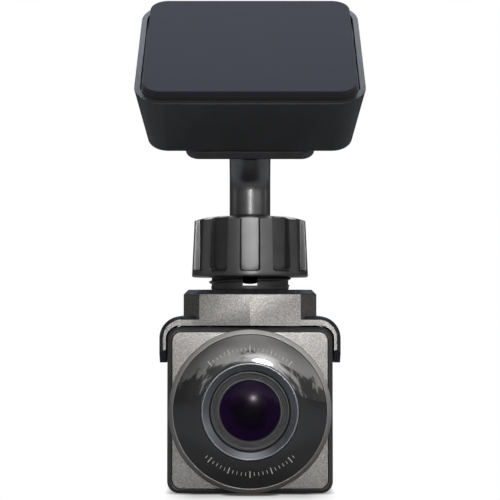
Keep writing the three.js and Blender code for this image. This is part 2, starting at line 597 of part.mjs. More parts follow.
// Plain rectangular parts, by their spans across, back and up
const BOARD_PARTS = {
  board_connector: [[-9, -3], [SENSOR_BOARD + BOARD_THICKNESS + GAP, MAIN_BOARD - GAP], [6, 9], chipPlastic],
  processor: [[-2, 10], [MAIN_BOARD - GAP - 0.9, MAIN_BOARD - GAP], [-8, 4], chipPlastic],
  heat_spreader: [[-3, 11], [21.9, 23], [-9, 5], aluminium],
  antenna_module: [[-12.5, -4], [BEHIND_BOARD, BEHIND_BOARD + 1.6], [-9.4, -6.4], aluminium],
  microphone: [[-1.6, 1.6], [BEHIND_BOARD, BEHIND_BOARD + 1.1], [-7.2, -4.8], aluminium],
  event_switch: [[EVENT_BUTTON.x - 3, EVENT_BUTTON.x + 3], [BEHIND_BOARD, BEHIND_BOARD + 4.2],
    [EVENT_BUTTON.z - 2.6, EVENT_BUTTON.z + 3], chipPlastic],
  power_switch: [[-14, -11.9], [MAIN_BOARD - 5.1, MAIN_BOARD - 0.4],
    [POWER_BUTTON.z - 3, POWER_BUTTON.z + 3], chipPlastic],
};

function makeLightGuide() {
  const flange = LIGHT.radius + 0.5;
  const cover = COVER_FRONT - GAP;
  return turnedBack([[0, BEHIND_BOARD + 1], [flange, BEHIND_BOARD + 1], [flange, cover],
    [LIGHT.radius, cover], [LIGHT.radius, BODY_DEPTH], [0, BODY_DEPTH]], 12, LIGHT.x, LIGHT.z);
}

add(camera, "sensor_board", sensorBoard, board);
add(camera, "main_board", longWay.add(wideWay), board);
for (const [name, [across, back, up, look]] of Object.entries(BOARD_PARTS)) {
  add(camera, name, box(across, back, up), look);
}
add(camera, "supercapacitor", crossing(roundedRect(6.4, 6.4, 3.19, 30.2, 11.3), -8, 4), sealant);
add(camera, "speaker", turnedBack(rod(SPEAKER.radius, 30.4, 33.4), 24, SPEAKER.x, SPEAKER.z), chipPlastic);
add(camera, "usb_socket", makeUsbSocket(), steel);
add(camera, "card_socket", makeCardSocket(), steel);
add(camera, "status_light_guide", makeLightGuide(), clearPlastic);

// ---- Buttons and memory card ------------------------------------------------------------------

function makeEventButton() {
  const { x, z, radius, flange, proud } = EVENT_BUTTON;
  const behind = COVER_FRONT - GAP;
  return turnedBack([[0, behind - 2.2], [1.2, behind - 2.2], [1.2, behind - 0.8],
    [flange, behind - 0.8], [flange, behind], [radius, behind], [radius, BODY_DEPTH + proud - 0.3],
    [radius - 0.3, BODY_DEPTH + proud], [0, BODY_DEPTH + proud]], 24, x, z);
}

function makePowerButton() {
  const { y, z, length, height, proud } = POWER_BUTTON;
  const inside = WALL + GAP - BODY / 2;
  const cap = crossing(roundedRect(length, height, 1.3, y, z), -BODY / 2 - proud, inside + 0.4, 0.25);
  const flange = crossing(roundedRect(length + 1.6, height + 1.6, 1.6, y, z), inside, inside + 0.8);
  const stub = box([inside + 0.5, -14.8], [y - 0.8, y + 0.8], [z - 0.8, z + 0.8]);
  return cap.add(flange).add(stub);
}

function makeCard() {
  const { length, width, thickness, x, y, z } = CARD;
  const outline = roundedRect(thickness, width, 0.15, y, z);
  return crossing(outline, x, x + length);
}

add(camera, "event_button", makeEventButton(), blackPlastic);
add(camera, "power_button", makePowerButton(), blackPlastic);
add(camera, "memory_card", makeCard(), chipPlastic);

// The middle of the adhesive face becomes the origin.
const padCentre = new THREE.Vector3(0, RIM_Y - PAD_TOP * Math.sin(MOUNT_LEAN),
  RIM_Z + PAD_TOP * Math.cos(MOUNT_LEAN));
camera.position.copy(padCentre).negate();

export default dashCamera;
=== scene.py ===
# Looks for the dash camera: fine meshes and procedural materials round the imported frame.
# Shapes are laid out in millimetres about the lens axis at the front face plate (x right, y back,
# z up), or in the leaning frame of the windscreen mount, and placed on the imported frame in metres.
import json
import math

import bmesh
import bpy
from mathutils import Matrix, Vector


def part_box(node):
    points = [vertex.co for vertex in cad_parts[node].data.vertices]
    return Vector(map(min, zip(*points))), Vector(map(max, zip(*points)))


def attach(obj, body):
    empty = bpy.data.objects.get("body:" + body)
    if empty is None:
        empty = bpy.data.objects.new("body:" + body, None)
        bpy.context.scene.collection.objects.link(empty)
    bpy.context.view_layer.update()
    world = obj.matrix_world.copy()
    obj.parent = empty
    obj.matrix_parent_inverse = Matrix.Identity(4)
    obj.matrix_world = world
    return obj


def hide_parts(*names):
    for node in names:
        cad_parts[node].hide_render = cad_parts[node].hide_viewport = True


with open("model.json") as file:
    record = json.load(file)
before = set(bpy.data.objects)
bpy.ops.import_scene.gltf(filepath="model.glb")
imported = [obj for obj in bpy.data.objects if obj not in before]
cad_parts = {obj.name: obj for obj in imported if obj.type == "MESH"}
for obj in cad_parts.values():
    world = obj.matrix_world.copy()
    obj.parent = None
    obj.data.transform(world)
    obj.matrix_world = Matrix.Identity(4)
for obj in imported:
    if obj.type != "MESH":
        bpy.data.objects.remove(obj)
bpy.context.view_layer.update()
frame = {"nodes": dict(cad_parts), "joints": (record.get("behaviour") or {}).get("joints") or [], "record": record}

MM = 0.001

# ---- Places, read from the frame ----

plate_low, plate_high = (Vector(c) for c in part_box("front_face_plate"))
LENS = Vector((0, plate_low.y, (plate_low.z + plate_high.z) / 2))
CAMERA_PLACE = Matrix.Translation(LENS) @ Matrix.Scale(MM, 4)

pad_mount = next(m for m in frame["record"]["mounts"] if m["name"] == "windscreen_pad")
pad_out = Vector(pad_mount["axis"])
LEAN = math.atan2(-pad_out.y, pad_out.z)
MOUNT_PLACE = (Matrix.Translation(Vector(pad_mount["pos_m"]))
               @ Matrix.Rotation(LEAN, 4, "X") @ Matrix.Scale(MM, 4))

ball_joint = next(j for j in frame["joints"] if j["name"] == "ball_yaw")
BALL = (Vector(ball_joint["pos_m"]) - LENS) / MM


def span(node):
    """A node's box as two corners in millimetres about the lens axis."""
    return [(Vector(corner) - LENS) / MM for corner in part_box(node)]


def middle(node):
    low, high = span(node)
    return (low + high) / 2


# ---- Sizes in millimetres ----

# Housing: a square tube with a recess for the face plate in front and an open back
BODY_HALF = 18.0
BODY_CORNER = 2.6
BODY_BEVEL = 0.85
HOUSING_BACK = 33.6
CAVITY_HALF = 16.4
CAVITY_FRONT = 4.2
NECK_HALF = 15.6
RECESS_HALF = 17.06
RECESS_FLOOR = 2.4
PLATE_HALF = 16.98
PLATE_CORNER = 2.0
PLATE_THICKNESS = 1.5
LENS_HOLE = 14.4

# Rear cover and its four screws
COVER_FRONT, BODY_BACK = 34.0, 36.0
LIP_FRONT = 32.8
LIP_INNER, LIP_OUTER = 15.5, 16.2
POST = 13.9
SCREW_HOLE = 1.2
SCREW_SEAT = 34.9
SCREW_SEAT_RADIUS = 2.05

# Lens front; depths are measured back from the face plate
TRIM_RADIUS, TRIM_BORE = 17.6, 16.48
FUNNEL_RADIUS, FUNNEL_BORE = 10.5, 8.72
RETAINER_RADIUS, RETAINER_BORE = 8.62, 6.5
GLASS_RADIUS, GLASS_FRONT = 6.46, -1.75

# Saddle and the neck block on it
SADDLE_HALF = 19.8
SADDLE_TOP = 20.4
SADDLE_END = 10.2
SADDLE_SLOPE = 13.0
SADDLE_CORNER = 4.8
SADDLE_INNER, SADDLE_INNER_CORNER = 18.3, 2.9
SADDLE_FOOT = 0.9
SADDLE_CHAMFER = 0.8
SADDLE_FRONT, SADDLE_BACK = 1.0, 35.0
BLOCK_HALF = 14.6
FACET_HALF = 11.05
FACET_SETBACK = 2.6
RIDGE = 1.2
BLOCK_TOP = 26.2
BLOCK_CHAMFER = 1.05

# Clamp nut
NUT_BOTTOM, NUT_TOP = 29.15, 42.8
NUT_SHOULDER = 42.1
NUT_FOOT_RADIUS, NUT_SHOULDER_RADIUS, NUT_LAND_RADIUS = 13.4, 12.8, 10.6
FLUTES = 11
FLUTE_HALF = 2.3
FLUTE_CORNER = 0.75
FLUTE_BOTTOM = 30.4
FLUTE_FLOOR = 11.75

# Split collet
ROOT_RADIUS, CREST_RADIUS = 8.95, 9.56
THREAD_PITCH = 1.75
COLLET_TOP = 38.6
SOCKET_RADIUS = 7.15
SOCKET_MOUTH, SOCKET_FLOOR = 52, 143  # degrees from the top of the ball
SLOT_HALF = 1.7
SLOT_FLOOR = 27.2

# Ball stem
STEM_RADIUS, NECK_RADIUS, BALL_RADIUS = 4.71, 3.2, 6.4
STEM_BOTTOM, BEND_Z, BEND_REACH, STEM_REACH = 43.2, 52.0, 3.2, 8.54

# In the mount's frame z is 0 at the adhesive face, so everything else is below it
RIM_Z = -2.1
MOUNT_BACK = RIM_Z - 14.6
RIM = (50.9, 42.6, 6.9)
BACK = (45.7, 37.6, 4.6)
PAD = (46.8, 39.4, 4.1)
FOOT = (29.0, 24.0, 3.0)
FOOT_Y = -6.5


# ---- Mesh kit ----

def stand(name, data):
    """A new object in the scene."""
    obj = bpy.data.objects.new(name, data)
    bpy.context.scene.collection.objects.link(obj)
    return obj


def build(name, vertices, faces, place, smooth=35):
    """A mesh object from points in millimetres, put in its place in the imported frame."""
    mesh = bpy.data.meshes.new(name)
    mesh.from_pydata([tuple(v) for v in vertices], [], faces)
    work = bmesh.new()
    work.from_mesh(mesh)
    bmesh.ops.remove_doubles(work, verts=work.verts, dist=1e-5)
    bmesh.ops.recalc_face_normals(work, faces=work.faces)
    work.to_mesh(mesh)
    work.free()
    mesh.transform(place)
    obj = stand(name, mesh)
    shade(obj, smooth)
    return obj


def shade(obj, angle):
    for polygon in obj.data.polygons:
        polygon.use_smooth = True
    obj.data.set_sharp_from_angle(angle=math.radians(angle))


def skin(loops, wrap=False):
    """Vertices and faces over a stack of loops with the same number of points."""
    count = len(loops[0])
    vertices = [p for loop in loops for p in loop]
    faces = []
    for k in range(len(loops) if wrap else len(loops) - 1):
        low, high = k * count, ((k + 1) % len(loops)) * count
        for i in range(count):
            j = (i + 1) % count
            faces.append((low + i, low + j, high + j, high + i))
    if not wrap:
        faces.append(tuple(range(count - 1, -1, -1)))
        faces.append(tuple((len(loops) - 1) * count + i for i in range(count)))
    return vertices, faces


def loft(name, loops, place=CAMERA_PLACE, wrap=False, smooth=35):
    return build(name, *skin(loops, wrap), place, smooth)


def arc(x, y, radius, start, turn, steps=16):
    """Points on an arc about (x, y), from a start angle through a turn, in degrees."""
    angles = [math.radians(start + turn * i / steps) for i in range(steps + 1)]
    return [(x + radius * math.cos(a), y + radius * math.sin(a)) for a in angles]


def outline(width, height, radius, corner=10, side=1, x=0.0, y=0.0):
    """A rounded rectangle as (x, y) points, anticlockwise, each side in some equal parts."""
    arcs = []
    for k, (sx, sy) in enumerate([(1, -1), (1, 1), (-1, 1), (-1, -1)]):
        cx, cy = x + sx * (width / 2 - radius), y + sy * (height / 2 - radius)
        arcs.append(arc(cx, cy, radius, 90 * k - 90, 90, corner))
    points = []
    for k in range(4):
        start, end = arcs[k][-1], arcs[(k + 1) % 4][0]
        points += arcs[k]
        for i in range(1, side):
            points.append(tuple(p + (q - p) * i / side for p, q in zip(start, end)))
    return points


def square(half, radius, depth, corner=12, side=1):
    """A rounded square about the lens axis, at a depth."""
    return [(x, depth, z) for x, z in outline(2 * half, 2 * half, radius, corner, side)]


def rounded_levels(low, high, fillet_low, fillet_high, steps=5):
    """Heights and insets that round the two ends of a block."""
    turns = [math.pi / 2 * i / steps for i in range(steps + 1)]
    levels = [(low + fillet_low * (1 - math.cos(a)), fillet_low * (1 - math.sin(a))) for a in turns]
    turns.reverse()
    return levels + [(high - fillet_high * (1 - math.cos(a)), fillet_high * (1 - math.sin(a)))
                     for a in turns]


def block_loops(size, low, high, fillets=(0.3, 0.3), centre=(0, 0), steps=5, size_high=None):
    """Loops of a filleted block between two heights; size_high gives it draft."""
    size_high = size_high or size
    loops = []
    for z, inset in rounded_levels(low, high, *fillets, steps):
        t = (z - low) / (high - low)
        w, h, r = (a + (b - a) * t for a, b in zip(size, size_high))
        flat = outline(w - 2 * inset, h - 2 * inset, max(r - inset, 0.05), x=centre[0], y=centre[1])
        loops.append([(px, py, z) for px, py in flat])
    return loops


def to_back(loops):
    """Loops that stand on a level plane turned to face the front, their height becoming depth."""
    return [[(x, z, y) for x, y, z in loop] for loop in loops]


def to_side(loops):
    """Loops (depth, height, across) turned to face the side."""
    return [[(z, x, y) for x, y, z in loop] for loop in loops]


def softened(profile, radius, steps=4, closed=True):
    """A profile with each corner rounded; a corner of the open kind keeps its two ends."""
    count = len(profile)
    points = []
    for i, corner in enumerate(profile):
        if not closed and i in (0, count - 1):
            points.append(corner)
            continue
        c, p, n = (Vector(profile[k % count]) for k in (i, i - 1, i + 1))
        reach = min(radius, (p - c).length * 0.45, (n - c).length * 0.45)
        a = c + (p - c).normalized() * reach
        b = c + (n - c).normalized() * reach
        for k in range(steps + 1):
            t = k / steps
            points.append(tuple(a * (1 - t) ** 2 + c * 2 * t * (1 - t) + b * t * t))
    return points


def full_turn(segments):
    return [2 * math.pi * i / segments for i in range(segments)]


def around(radius, height, angles, x=0.0, y=0.0):
    """Points on a level circle about (x, y)."""
    return [(x + radius * math.cos(a), y + radius * math.sin(a), height) for a in angles]


def turned_back(name, profile, segments=128, wrap=True, x=0.0, z=0.0, smooth=35):
    """Turned about a line that runs back: the profile is (radius, depth)."""
    loops = [around(r, depth, full_turn(segments), x, z) for r, depth in profile]
    return loft(name, to_back(loops), wrap=wrap, smooth=smooth)


def carve(obj, cutters, operation="DIFFERENCE"):
    """Cuts or joins the cutters, which are removed, and keeps the result as a plain mesh."""
    for cutter in cutters:
        modifier = obj.modifiers.new("cut", "BOOLEAN")
        modifier.operation = operation
        modifier.solver = "EXACT"
        modifier.object = cutter
    apply_modifiers(obj)
    for cutter in cutters:
        bpy.data.objects.remove(cutter)


def apply_modifiers(obj):
    bpy.context.view_layer.update()
    seen = obj.evaluated_get(bpy.context.evaluated_depsgraph_get())
    mesh = bpy.data.meshes.new_from_object(seen)
    obj.modifiers.clear()
    obj.data = mesh


def bevel(obj, width, angle=32, segments=3, smooth=32):
    """Rounds the sharp edges that a cut left, by a width in millimetres."""
    modifier = obj.modifiers.new("edge", "BEVEL")
    modifier.width = width * MM
    modifier.segments = segments
    modifier.limit_method = "ANGLE"
    modifier.angle_limit = math.radians(angle)
    modifier.use_clamp_overlap = True
    apply_modifiers(obj)
    shade(obj, smooth)


def crease(obj, angle, area):
    """Keeps an edge crisp where two broad faces, in square millimetres, meet at a slight angle."""
    broad = {}
    for face in obj.data.polygons:
        if face.area > area * MM * MM:
            for key in face.edge_keys:
                broad.setdefault(key, []).append(face.normal)
    for edge in obj.data.edges:
        normals = broad.get(edge.key, [])
        if len(normals) == 2 and normals[0].angle(normals[1]) > math.radians(angle):
            edge.use_edge_sharp = True


def settle(obj, body, slot, material, *nodes):
    """Gives a piece its finish, its body and the CAD nodes that it stands for."""
    obj.data.materials.clear()
    obj.data.materials.append(material)
    even = obj.modifiers.new("even_shading", "WEIGHTED_NORMAL")
    even.keep_sharp = True
    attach(obj, body)
    if nodes:
        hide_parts(*nodes)


# ---- Materials ----

class Nodes:
    """A short way to write a procedural material; noise and cells have scales per metre."""

    def __init__(self, name):
        self.material = bpy.data.materials.new(name)
        self.material.use_nodes = True
        self.tree = self.material.node_tree
        self.shader = self.tree.nodes["Principled BSDF"]
        self.place = self.add("ShaderNodeTexCoord").outputs["Object"]

    def add(self, kind, **values):
        node = self.tree.nodes.new(kind)
        for key, value in values.items():
            setattr(node, key, value)
        return node

    def link(self, output, target):
        self.tree.links.new(output, target)

    def feed(self, socket, value):
        """Gives a socket another node's output, a colour or a plain value."""
        if isinstance(value, bpy.types.NodeSocket):
            self.link(value, socket)
        elif isinstance(value, tuple) and len(value) == 3:
            socket.default_value = (*value, 1.0)
        else:
            socket.default_value = value

    def math(self, operation, a, b):
        node = self.add("ShaderNodeMath", operation=operation)
        for socket, value in zip(node.inputs, (a, b)):
            self.feed(socket, value)
        return node.outputs[0]

    def noise(self, scale, detail=3.0, roughness=0.5, coordinate=None, stretch=None):
        node = self.add("ShaderNodeTexNoise")
        for key, value in (("Scale", scale), ("Detail", detail), ("Roughness", roughness)):
            node.inputs[key].default_value = value
        source = coordinate or self.place
        if stretch:
            mapping = self.add("ShaderNodeMapping")
            mapping.inputs["Scale"].default_value = stretch
            self.link(source, mapping.inputs["Vector"])
            source = mapping.outputs["Vector"]
        self.link(source, node.inputs["Vector"])
        return node.outputs["Fac"]

    def cells(self, scale):
        node = self.add("ShaderNodeTexVoronoi")
        node.inputs["Scale"].default_value = scale
        self.link(self.place, node.inputs["Vector"])
        return node.outputs["Color"]

    def ramp(self, factor, stops):
        node = self.add("ShaderNodeValToRGB")
        elements = node.color_ramp.elements
        while len(elements) < len(stops):
            elements.new(0.5)
        for element, (position, colour) in zip(elements, stops):
            element.position = position
            element.color = (*colour, 1.0)
        self.link(factor, node.inputs["Fac"])
        return node.outputs["Color"]

    def mapped(self, factor, low, high, start=0.0, end=1.0):
        node = self.add("ShaderNodeMapRange")
        for key, value in (("From Min", start), ("From Max", end), ("To Min", low), ("To Max", high)):
            node.inputs[key].default_value = value
        self.link(factor, node.inputs["Value"])
        return node.outputs["Result"]

    def mix(self, factor, a, b):
        node = self.add("ShaderNodeMix", data_type="RGBA")
        for socket, value in ((node.inputs["Factor"], factor), (node.inputs[6], a), (node.inputs[7], b)):
            self.feed(socket, value)
        return node.outputs[2]

    def shades(self, pattern, colour, dark, light, start=0.3, end=0.7):
        """A colour that a pattern varies between a darker and a lighter shade of it."""
        return self.mix(self.mapped(pattern, 0, 1, start, end), scaled(colour, dark), scaled(colour, light))

    def worn(self, base, colour, amount, gain):
        """Paler where the surface is convex, as along an edge that hands rub."""
        geometry = self.add("ShaderNodeNewGeometry")
        convex = self.mapped(geometry.outputs["Pointiness"], 0.0, 1.0, 0.52, 0.62)
        return self.mix(self.mapped(convex, 0, amount), base, scaled(colour, gain))

    def radius(self):
        """The distance in metres from the lens axis."""
        source = self.place
        for operation, value in (("SUBTRACT", LENS), ("MULTIPLY", (1, 0, 1)), ("LENGTH", (0, 0, 0))):
            node = self.add("ShaderNodeVectorMath", operation=operation)
            node.inputs[1].default_value = value
            self.link(source, node.inputs[0])
            source = node.outputs[0]
        return node.outputs["Value"]

    def openness(self, reach):
        """1 out in the open and less where something stands within reach, in millimetres."""
        node = self.add("ShaderNodeAmbientOcclusion", samples=8)
        node.inputs["Distance"].default_value = reach * MM
        return node.outputs["AO"]

    def bump(self, height, strength, distance=0.1, base=None):
        node = self.add("ShaderNodeBump")
        node.inputs["Strength"].default_value = strength
        node.inputs["Distance"].default_value = distance * MM
        self.link(height, node.inputs["Height"])
        if base:
            self.link(base, node.inputs["Normal"])
        return node.outputs["Normal"]

    def set(self, **values):
        for key, value in values.items():
            self.feed(self.shader.inputs[key.replace("_", " ")], value)
        return self.material

    def for_camera(self, others, seen):
        """One shader for what the camera sees directly and another for all other rays."""
        path = self.add("ShaderNodeLightPath")
        mixed = self.add("ShaderNodeMixShader")
        for socket, output in zip(mixed.inputs, (path.outputs["Is Camera Ray"], others, seen)):
            self.link(output, socket)
        return mixed.outputs[0]


def scaled(colour, factor):
    return tuple(c * factor for c in colour)


def moulded(name, colour, roughness, grain=9000, depth=0.012, metallic=0.0, recess_painted_shade=0.0):
    """Moulded plastic: spark-eroded grain, slight mottling, paler edges and, if asked, painted shade that darkens
    its recesses.
    """
    n = Nodes(name)
    base = n.shades(n.noise(180, 4), colour, 0.88, 1.12)
    base = n.worn(base, colour, 0.25, 1.9)
    # Painted shade: darker where other surfaces stand within 1.6 mm, as in flutes, slots and gaps.
    if recess_painted_shade:
        base = n.mix(n.mapped(n.openness(1.6), recess_painted_shade, 0.0, 0.45, 0.8), base, scaled(colour, 0.1))
    rough = n.mapped(n.noise(2600, 3), roughness - 0.04, roughness + 0.05, 0.3, 0.7)
    return n.set(Base_Color=base, Roughness=rough, Metallic=metallic,
                 Normal=n.bump(n.noise(grain, 2), 0.35, depth))


def sparkle(name, colour, roughness=0.39):
    """Warm grey paint with metal flake: tiny cells that differ in shade, in gloss and in tilt."""
    n = Nodes(name)
    flakes = n.add("ShaderNodeSeparateColor")
    n.link(n.cells(6600), flakes.inputs[0])
    shade_of, gloss_of, tilt_of = flakes.outputs
    tint = n.ramp(shade_of, [(0.0, scaled(colour, 0.55)), (0.5, scaled(colour, 0.96)),
                             (0.92, scaled(colour, 1.3)), (1.0, scaled(colour, 1.8))])
    base = n.mix(0.2, tint, n.shades(n.noise(2600, 2, 0.6), colour, 0.93, 1.07))
    rough = n.mapped(gloss_of, roughness - 0.03, roughness + 0.04)
    pits = n.bump(n.noise(9000, 2), 0.15, 0.002)
    return n.set(Base_Color=base, Metallic=1.0, Roughness=rough, Normal=n.bump(tilt_of, 0.08, 0.001, pits))


def turned_metal(name, colour, roughness, metallic):
    """Metal turned on a lathe: fine rings about the lens axis."""
    n = Nodes(name)
    along = n.add("ShaderNodeCombineXYZ")
    n.link(n.radius(), along.inputs[0])
    rings = n.noise(5200, 3, 0.6, along.outputs[0])
    base = n.worn(n.shades(rings, colour, 0.82, 1.15), colour, 0.35, 1.5)
    rough = n.mapped(n.noise(500, 4), roughness - 0.05, roughness + 0.08, 0.3, 0.7)
    return n.set(Base_Color=base, Metallic=metallic, Roughness=rough, Normal=n.bump(rings, 0.25, 0.008))


def lacquer(name, colour, roughness, metallic):
    """Dark lacquer over metal: orange peel under a soft coat."""
    n = Nodes(name)
    peel = n.noise(9000, 2)
    base = n.worn(n.shades(n.noise(300, 4), colour, 0.88, 1.12, 0.35, 0.65), colour, 0.3, 1.8)
    rough = n.mapped(peel, roughness - 0.03, roughness + 0.04, 0.3, 0.7)
    return n.set(Base_Color=base, Metallic=metallic, Roughness=rough, Coat_Weight=0.1,
                 Coat_Roughness=0.3, Normal=n.bump(peel, 0.05, 0.001))


def polished(name, colour):
    """Polished black acrylic with a trace of smears and dust."""
    n = Nodes(name)
    smear = n.noise(90, 5, 0.65, stretch=(1.0, 1.0, 2.2))
    dust = n.ramp(n.noise(3800, 2), [(0.0, colour), (0.71, colour), (0.78, scaled(colour, 7))])
    rough = n.mapped(smear, 0.035, 0.11, 0.4, 0.75)
    return n.set(Base_Color=dust, Roughness=rough, IOR=1.85, Coat_Weight=1.0, Coat_Roughness=0.02,
                 Normal=n.bump(n.noise(60, 2), 0.03, 0.05))


def coated_glass(name, colour, middle_colour, tint):
    """A coated lens element: nearly black in the middle, with a patchy violet ring round it that is painted
    reflection of the coating.
    """
    n = Nodes(name)
    # Painted reflection: the violet sheen is painted in a ring by the distance from the lens axis and made patchy
    # with noise.
    veil = n.mapped(n.noise(260, 4, 0.6), -0.8, 0.8, 0.25, 0.75)
    reach = n.mapped(n.radius(), 0.0, 1.0, 0.0, RETAINER_BORE * MM)
    patchy = n.math("ADD", n.math("MULTIPLY", veil, 0.16), reach)
    painted_coating_sheen = n.ramp(patchy, [(0.0, middle_colour), (0.5, scaled(colour, 0.35)), (0.72, colour),
                            (1.0, scaled(colour, 1.2))])
    rough = n.mapped(n.noise(140, 3), 0.13, 0.18, 0.4, 0.75)
    return n.set(Base_Color=painted_coating_sheen, Roughness=rough, IOR=1.5, Specular_IOR_Level=0.1, Specular_Tint=tint)


def foam_tape(name, colour):
    """Closed-cell foam tape: a dense matt skin with faint pores and a felted drag."""
    n = Nodes(name)
    pores = n.noise(5200, 4, 0.7)
    drag = n.noise(700, 4, 0.6, stretch=(0.35, 1.0, 1.0))
    base = n.shades(drag, colour, 0.93, 1.08, 0.35, 0.68)
    base = n.mix(n.mapped(pores, 0.35, 0, 0.28, 0.45), base, scaled(colour, 0.6))
    return n.set(Base_Color=base, Roughness=n.mapped(pores, 0.72, 0.9), Sheen_Weight=0.12,
                 Sheen_Roughness=0.6, Normal=n.bump(pores, 0.25, 0.03, n.bump(drag, 0.1, 0.06)))


def laminate(name, colour):
    """Circuit board: solder mask over copper tracks."""
    n = Nodes(name)
    tracks = n.add("ShaderNodeTexBrick", offset=0.5)
    for key, value in (("Scale", 260.0), ("Mortar Size", 0.012), ("Brick Width", 0.9), ("Row Height", 0.12)):
        n.feed(tracks.inputs[key], value)
    for key, gain in (("Color1", 0.8), ("Color2", 1.2), ("Mortar", 2.4)):
        n.feed(tracks.inputs[key], scaled(colour, gain))
    turn = n.add("ShaderNodeMapping")
    turn.inputs["Rotation"].default_value = (math.pi / 2, 0, 0)
    n.link(n.place, turn.inputs["Vector"])
    n.link(turn.outputs["Vector"], tracks.inputs["Vector"])
    return n.set(Base_Color=tracks.outputs["Color"], Roughness=0.35,
                 Normal=n.bump(tracks.outputs["Fac"], 0.2, 0.03))


def brushed(name, colour, roughness):
    """Plated or bare metal with a drawn grain."""
    n = Nodes(name)
    grain = n.noise(1600, 3, 0.6, stretch=(1, 1, 14))
    return n.set(Base_Color=n.shades(grain, colour, 0.8, 1.12), Metallic=1.0,
                 Roughness=n.mapped(grain, roughness - 0.06, roughness + 0.08, 0.3, 0.7),
                 Normal=n.bump(grain, 0.12, 0.01))


def printed_ink(name, colour):
    """Screen-printed ink, a little uneven."""
    n = Nodes(name)
    return n.set(Base_Color=n.shades(n.noise(4000, 2), colour, 0.85, 1.0), Roughness=0.45,
                 Normal=n.bump(n.noise(7000, 2), 0.2, 0.01))


def light_pipe(name, colour):
    """Clear plastic that carries a light out to the surface."""
    n = Nodes(name)
    rough = n.mapped(n.noise(900, 2), 0.18, 0.32, 0.3, 0.7)
    return n.set(Base_Color=colour, Roughness=rough, Transmission_Weight=0.8, IOR=1.49)


PAD_FOAM = foam_tape("pad_foam", (0.0162, 0.0165, 0.0350))
PAD_CORE = foam_tape("pad_core", (0.012, 0.012, 0.015))
SLATE_PLASTIC = moulded("slate_plastic", (0.043, 0.044, 0.046), 0.42, depth=0.016, metallic=0.2)
BLACK_PLASTIC = moulded("black_plastic", (0.078, 0.0785, 0.082), 0.42, metallic=0.45)
# The nut's plastic paints shade into its flutes and gaps; the buttons take the same finish.
NUT_PLASTIC = moulded("nut_plastic", (0.145, 0.146, 0.151), 0.33, grain=7000, depth=0.004, metallic=0.9,
                      recess_painted_shade=0.9)
STEM_LACQUER = lacquer("stem_lacquer", (0.195, 0.196, 0.201), 0.32, 0.9)
SPARKLE_PAINT = sparkle("sparkle_paint", (0.262, 0.257, 0.251), 0.32)
# A darker copy of the sparkle paint: painted shade for the saddle's chamfers.
SHADED_CHAMFER_PAINT = sparkle("painted_shade_chamfer", (0.085, 0.09, 0.102))
TRIM_METAL = turned_metal("trim_metal", (0.29, 0.286, 0.283), 0.36, 1.0)
DARK_METAL = turned_metal("dark_metal", (0.24, 0.256, 0.28), 0.32, 0.9)
RETAINER_METAL = turned_metal("retainer_metal", (0.085, 0.086, 0.09), 0.42, 0.5)
GLOSS_BLACK = polished("gloss_black", (0.006, 0.006, 0.007))
# The glass carries a painted violet reflection in a ring round its dark middle.
LENS_GLASS = coated_glass("lens_glass", (0.0105, 0.0028, 0.022), (0.0055, 0.0042, 0.0065), (0.9, 0.8, 1.0))
SEAT_PLASTIC = moulded("seat_plastic", (0.02, 0.02, 0.022), 0.5)
SCREW_STEEL = brushed("screw_steel", (0.45, 0.46, 0.47), 0.3)
CHIP_PLASTIC = moulded("chip_plastic", (0.02, 0.02, 0.022), 0.55, grain=5000)
CARD_PLASTIC = moulded("card_plastic", (0.018, 0.018, 0.02), 0.4)
BOARD = laminate("board", (0.012, 0.075, 0.03))
ALUMINIUM = brushed("aluminium", (0.72, 0.73, 0.74), 0.32)
LIGHT_PIPE = light_pipe("light_pipe", (0.8, 0.86, 0.92))
INK = printed_ink("ink", (0.62, 0.62, 0.60))


# ---- Windscreen mount ----

def make_bracket():
    """A drafted block whose rim is a flat frame round the pad, hollow behind the carrier."""
    rim_edge, back_edge, land, wall = 0.2, 0.9, 1.3, 1.9
    outside = block_loops(BACK, MOUNT_BACK, RIM_Z, (back_edge, rim_edge), steps=6, size_high=RIM)
    ledge = tuple(v - 2 * land for v in RIM[:2]) + (RIM[2] - land,)
    inner = tuple(v - 2 * wall for v in BACK[:2]) + (BACK[2] - wall,)
    inside = []
    for size, z in ((ledge, RIM_Z), (ledge, RIM_Z - 1.6), (inner, RIM_Z - 1.9), (inner, MOUNT_BACK + wall)):
        inside.append([(x, y, z) for x, y in outline(*size)])
    bracket = loft("bracket_shell_fine", outside + inside, place=MOUNT_PLACE)
    settle(bracket, "windscreen_mount", "slate_plastic", SLATE_PLASTIC, "bracket_shell")


def make_pad():
    """The foam pad and the darker core that shows along its edge."""
    foam = loft("adhesive_pad_fine", block_loops(PAD, -1.1, 0.0, (0.12, 0.22)), place=MOUNT_PLACE)
    settle(foam, "windscreen_mount", "pad_foam", PAD_FOAM, "adhesive_pad")
    size = (PAD[0] + 0.2, PAD[1] + 0.2, PAD[2])
    core = loft("pad_carrier_fine", block_loops(size, -3.3, -1.15, (0.1, 0.1)), place=MOUNT_PLACE)
    settle(core, "windscreen_mount", "seat_plastic", PAD_CORE, "pad_carrier")


def make_foot():
    """The flat foot that carries the stem, against the bracket's back."""
    top = MOUNT_BACK - 0.05
    foot = loft("stem_foot_fine", block_loops(FOOT, top - 2.35, top, (0.7, 0.15), (0, FOOT_Y)),
                place=MOUNT_PLACE)
    settle(foot, "windscreen_mount", "black_plastic", BLACK_PLASTIC, "stem_foot")


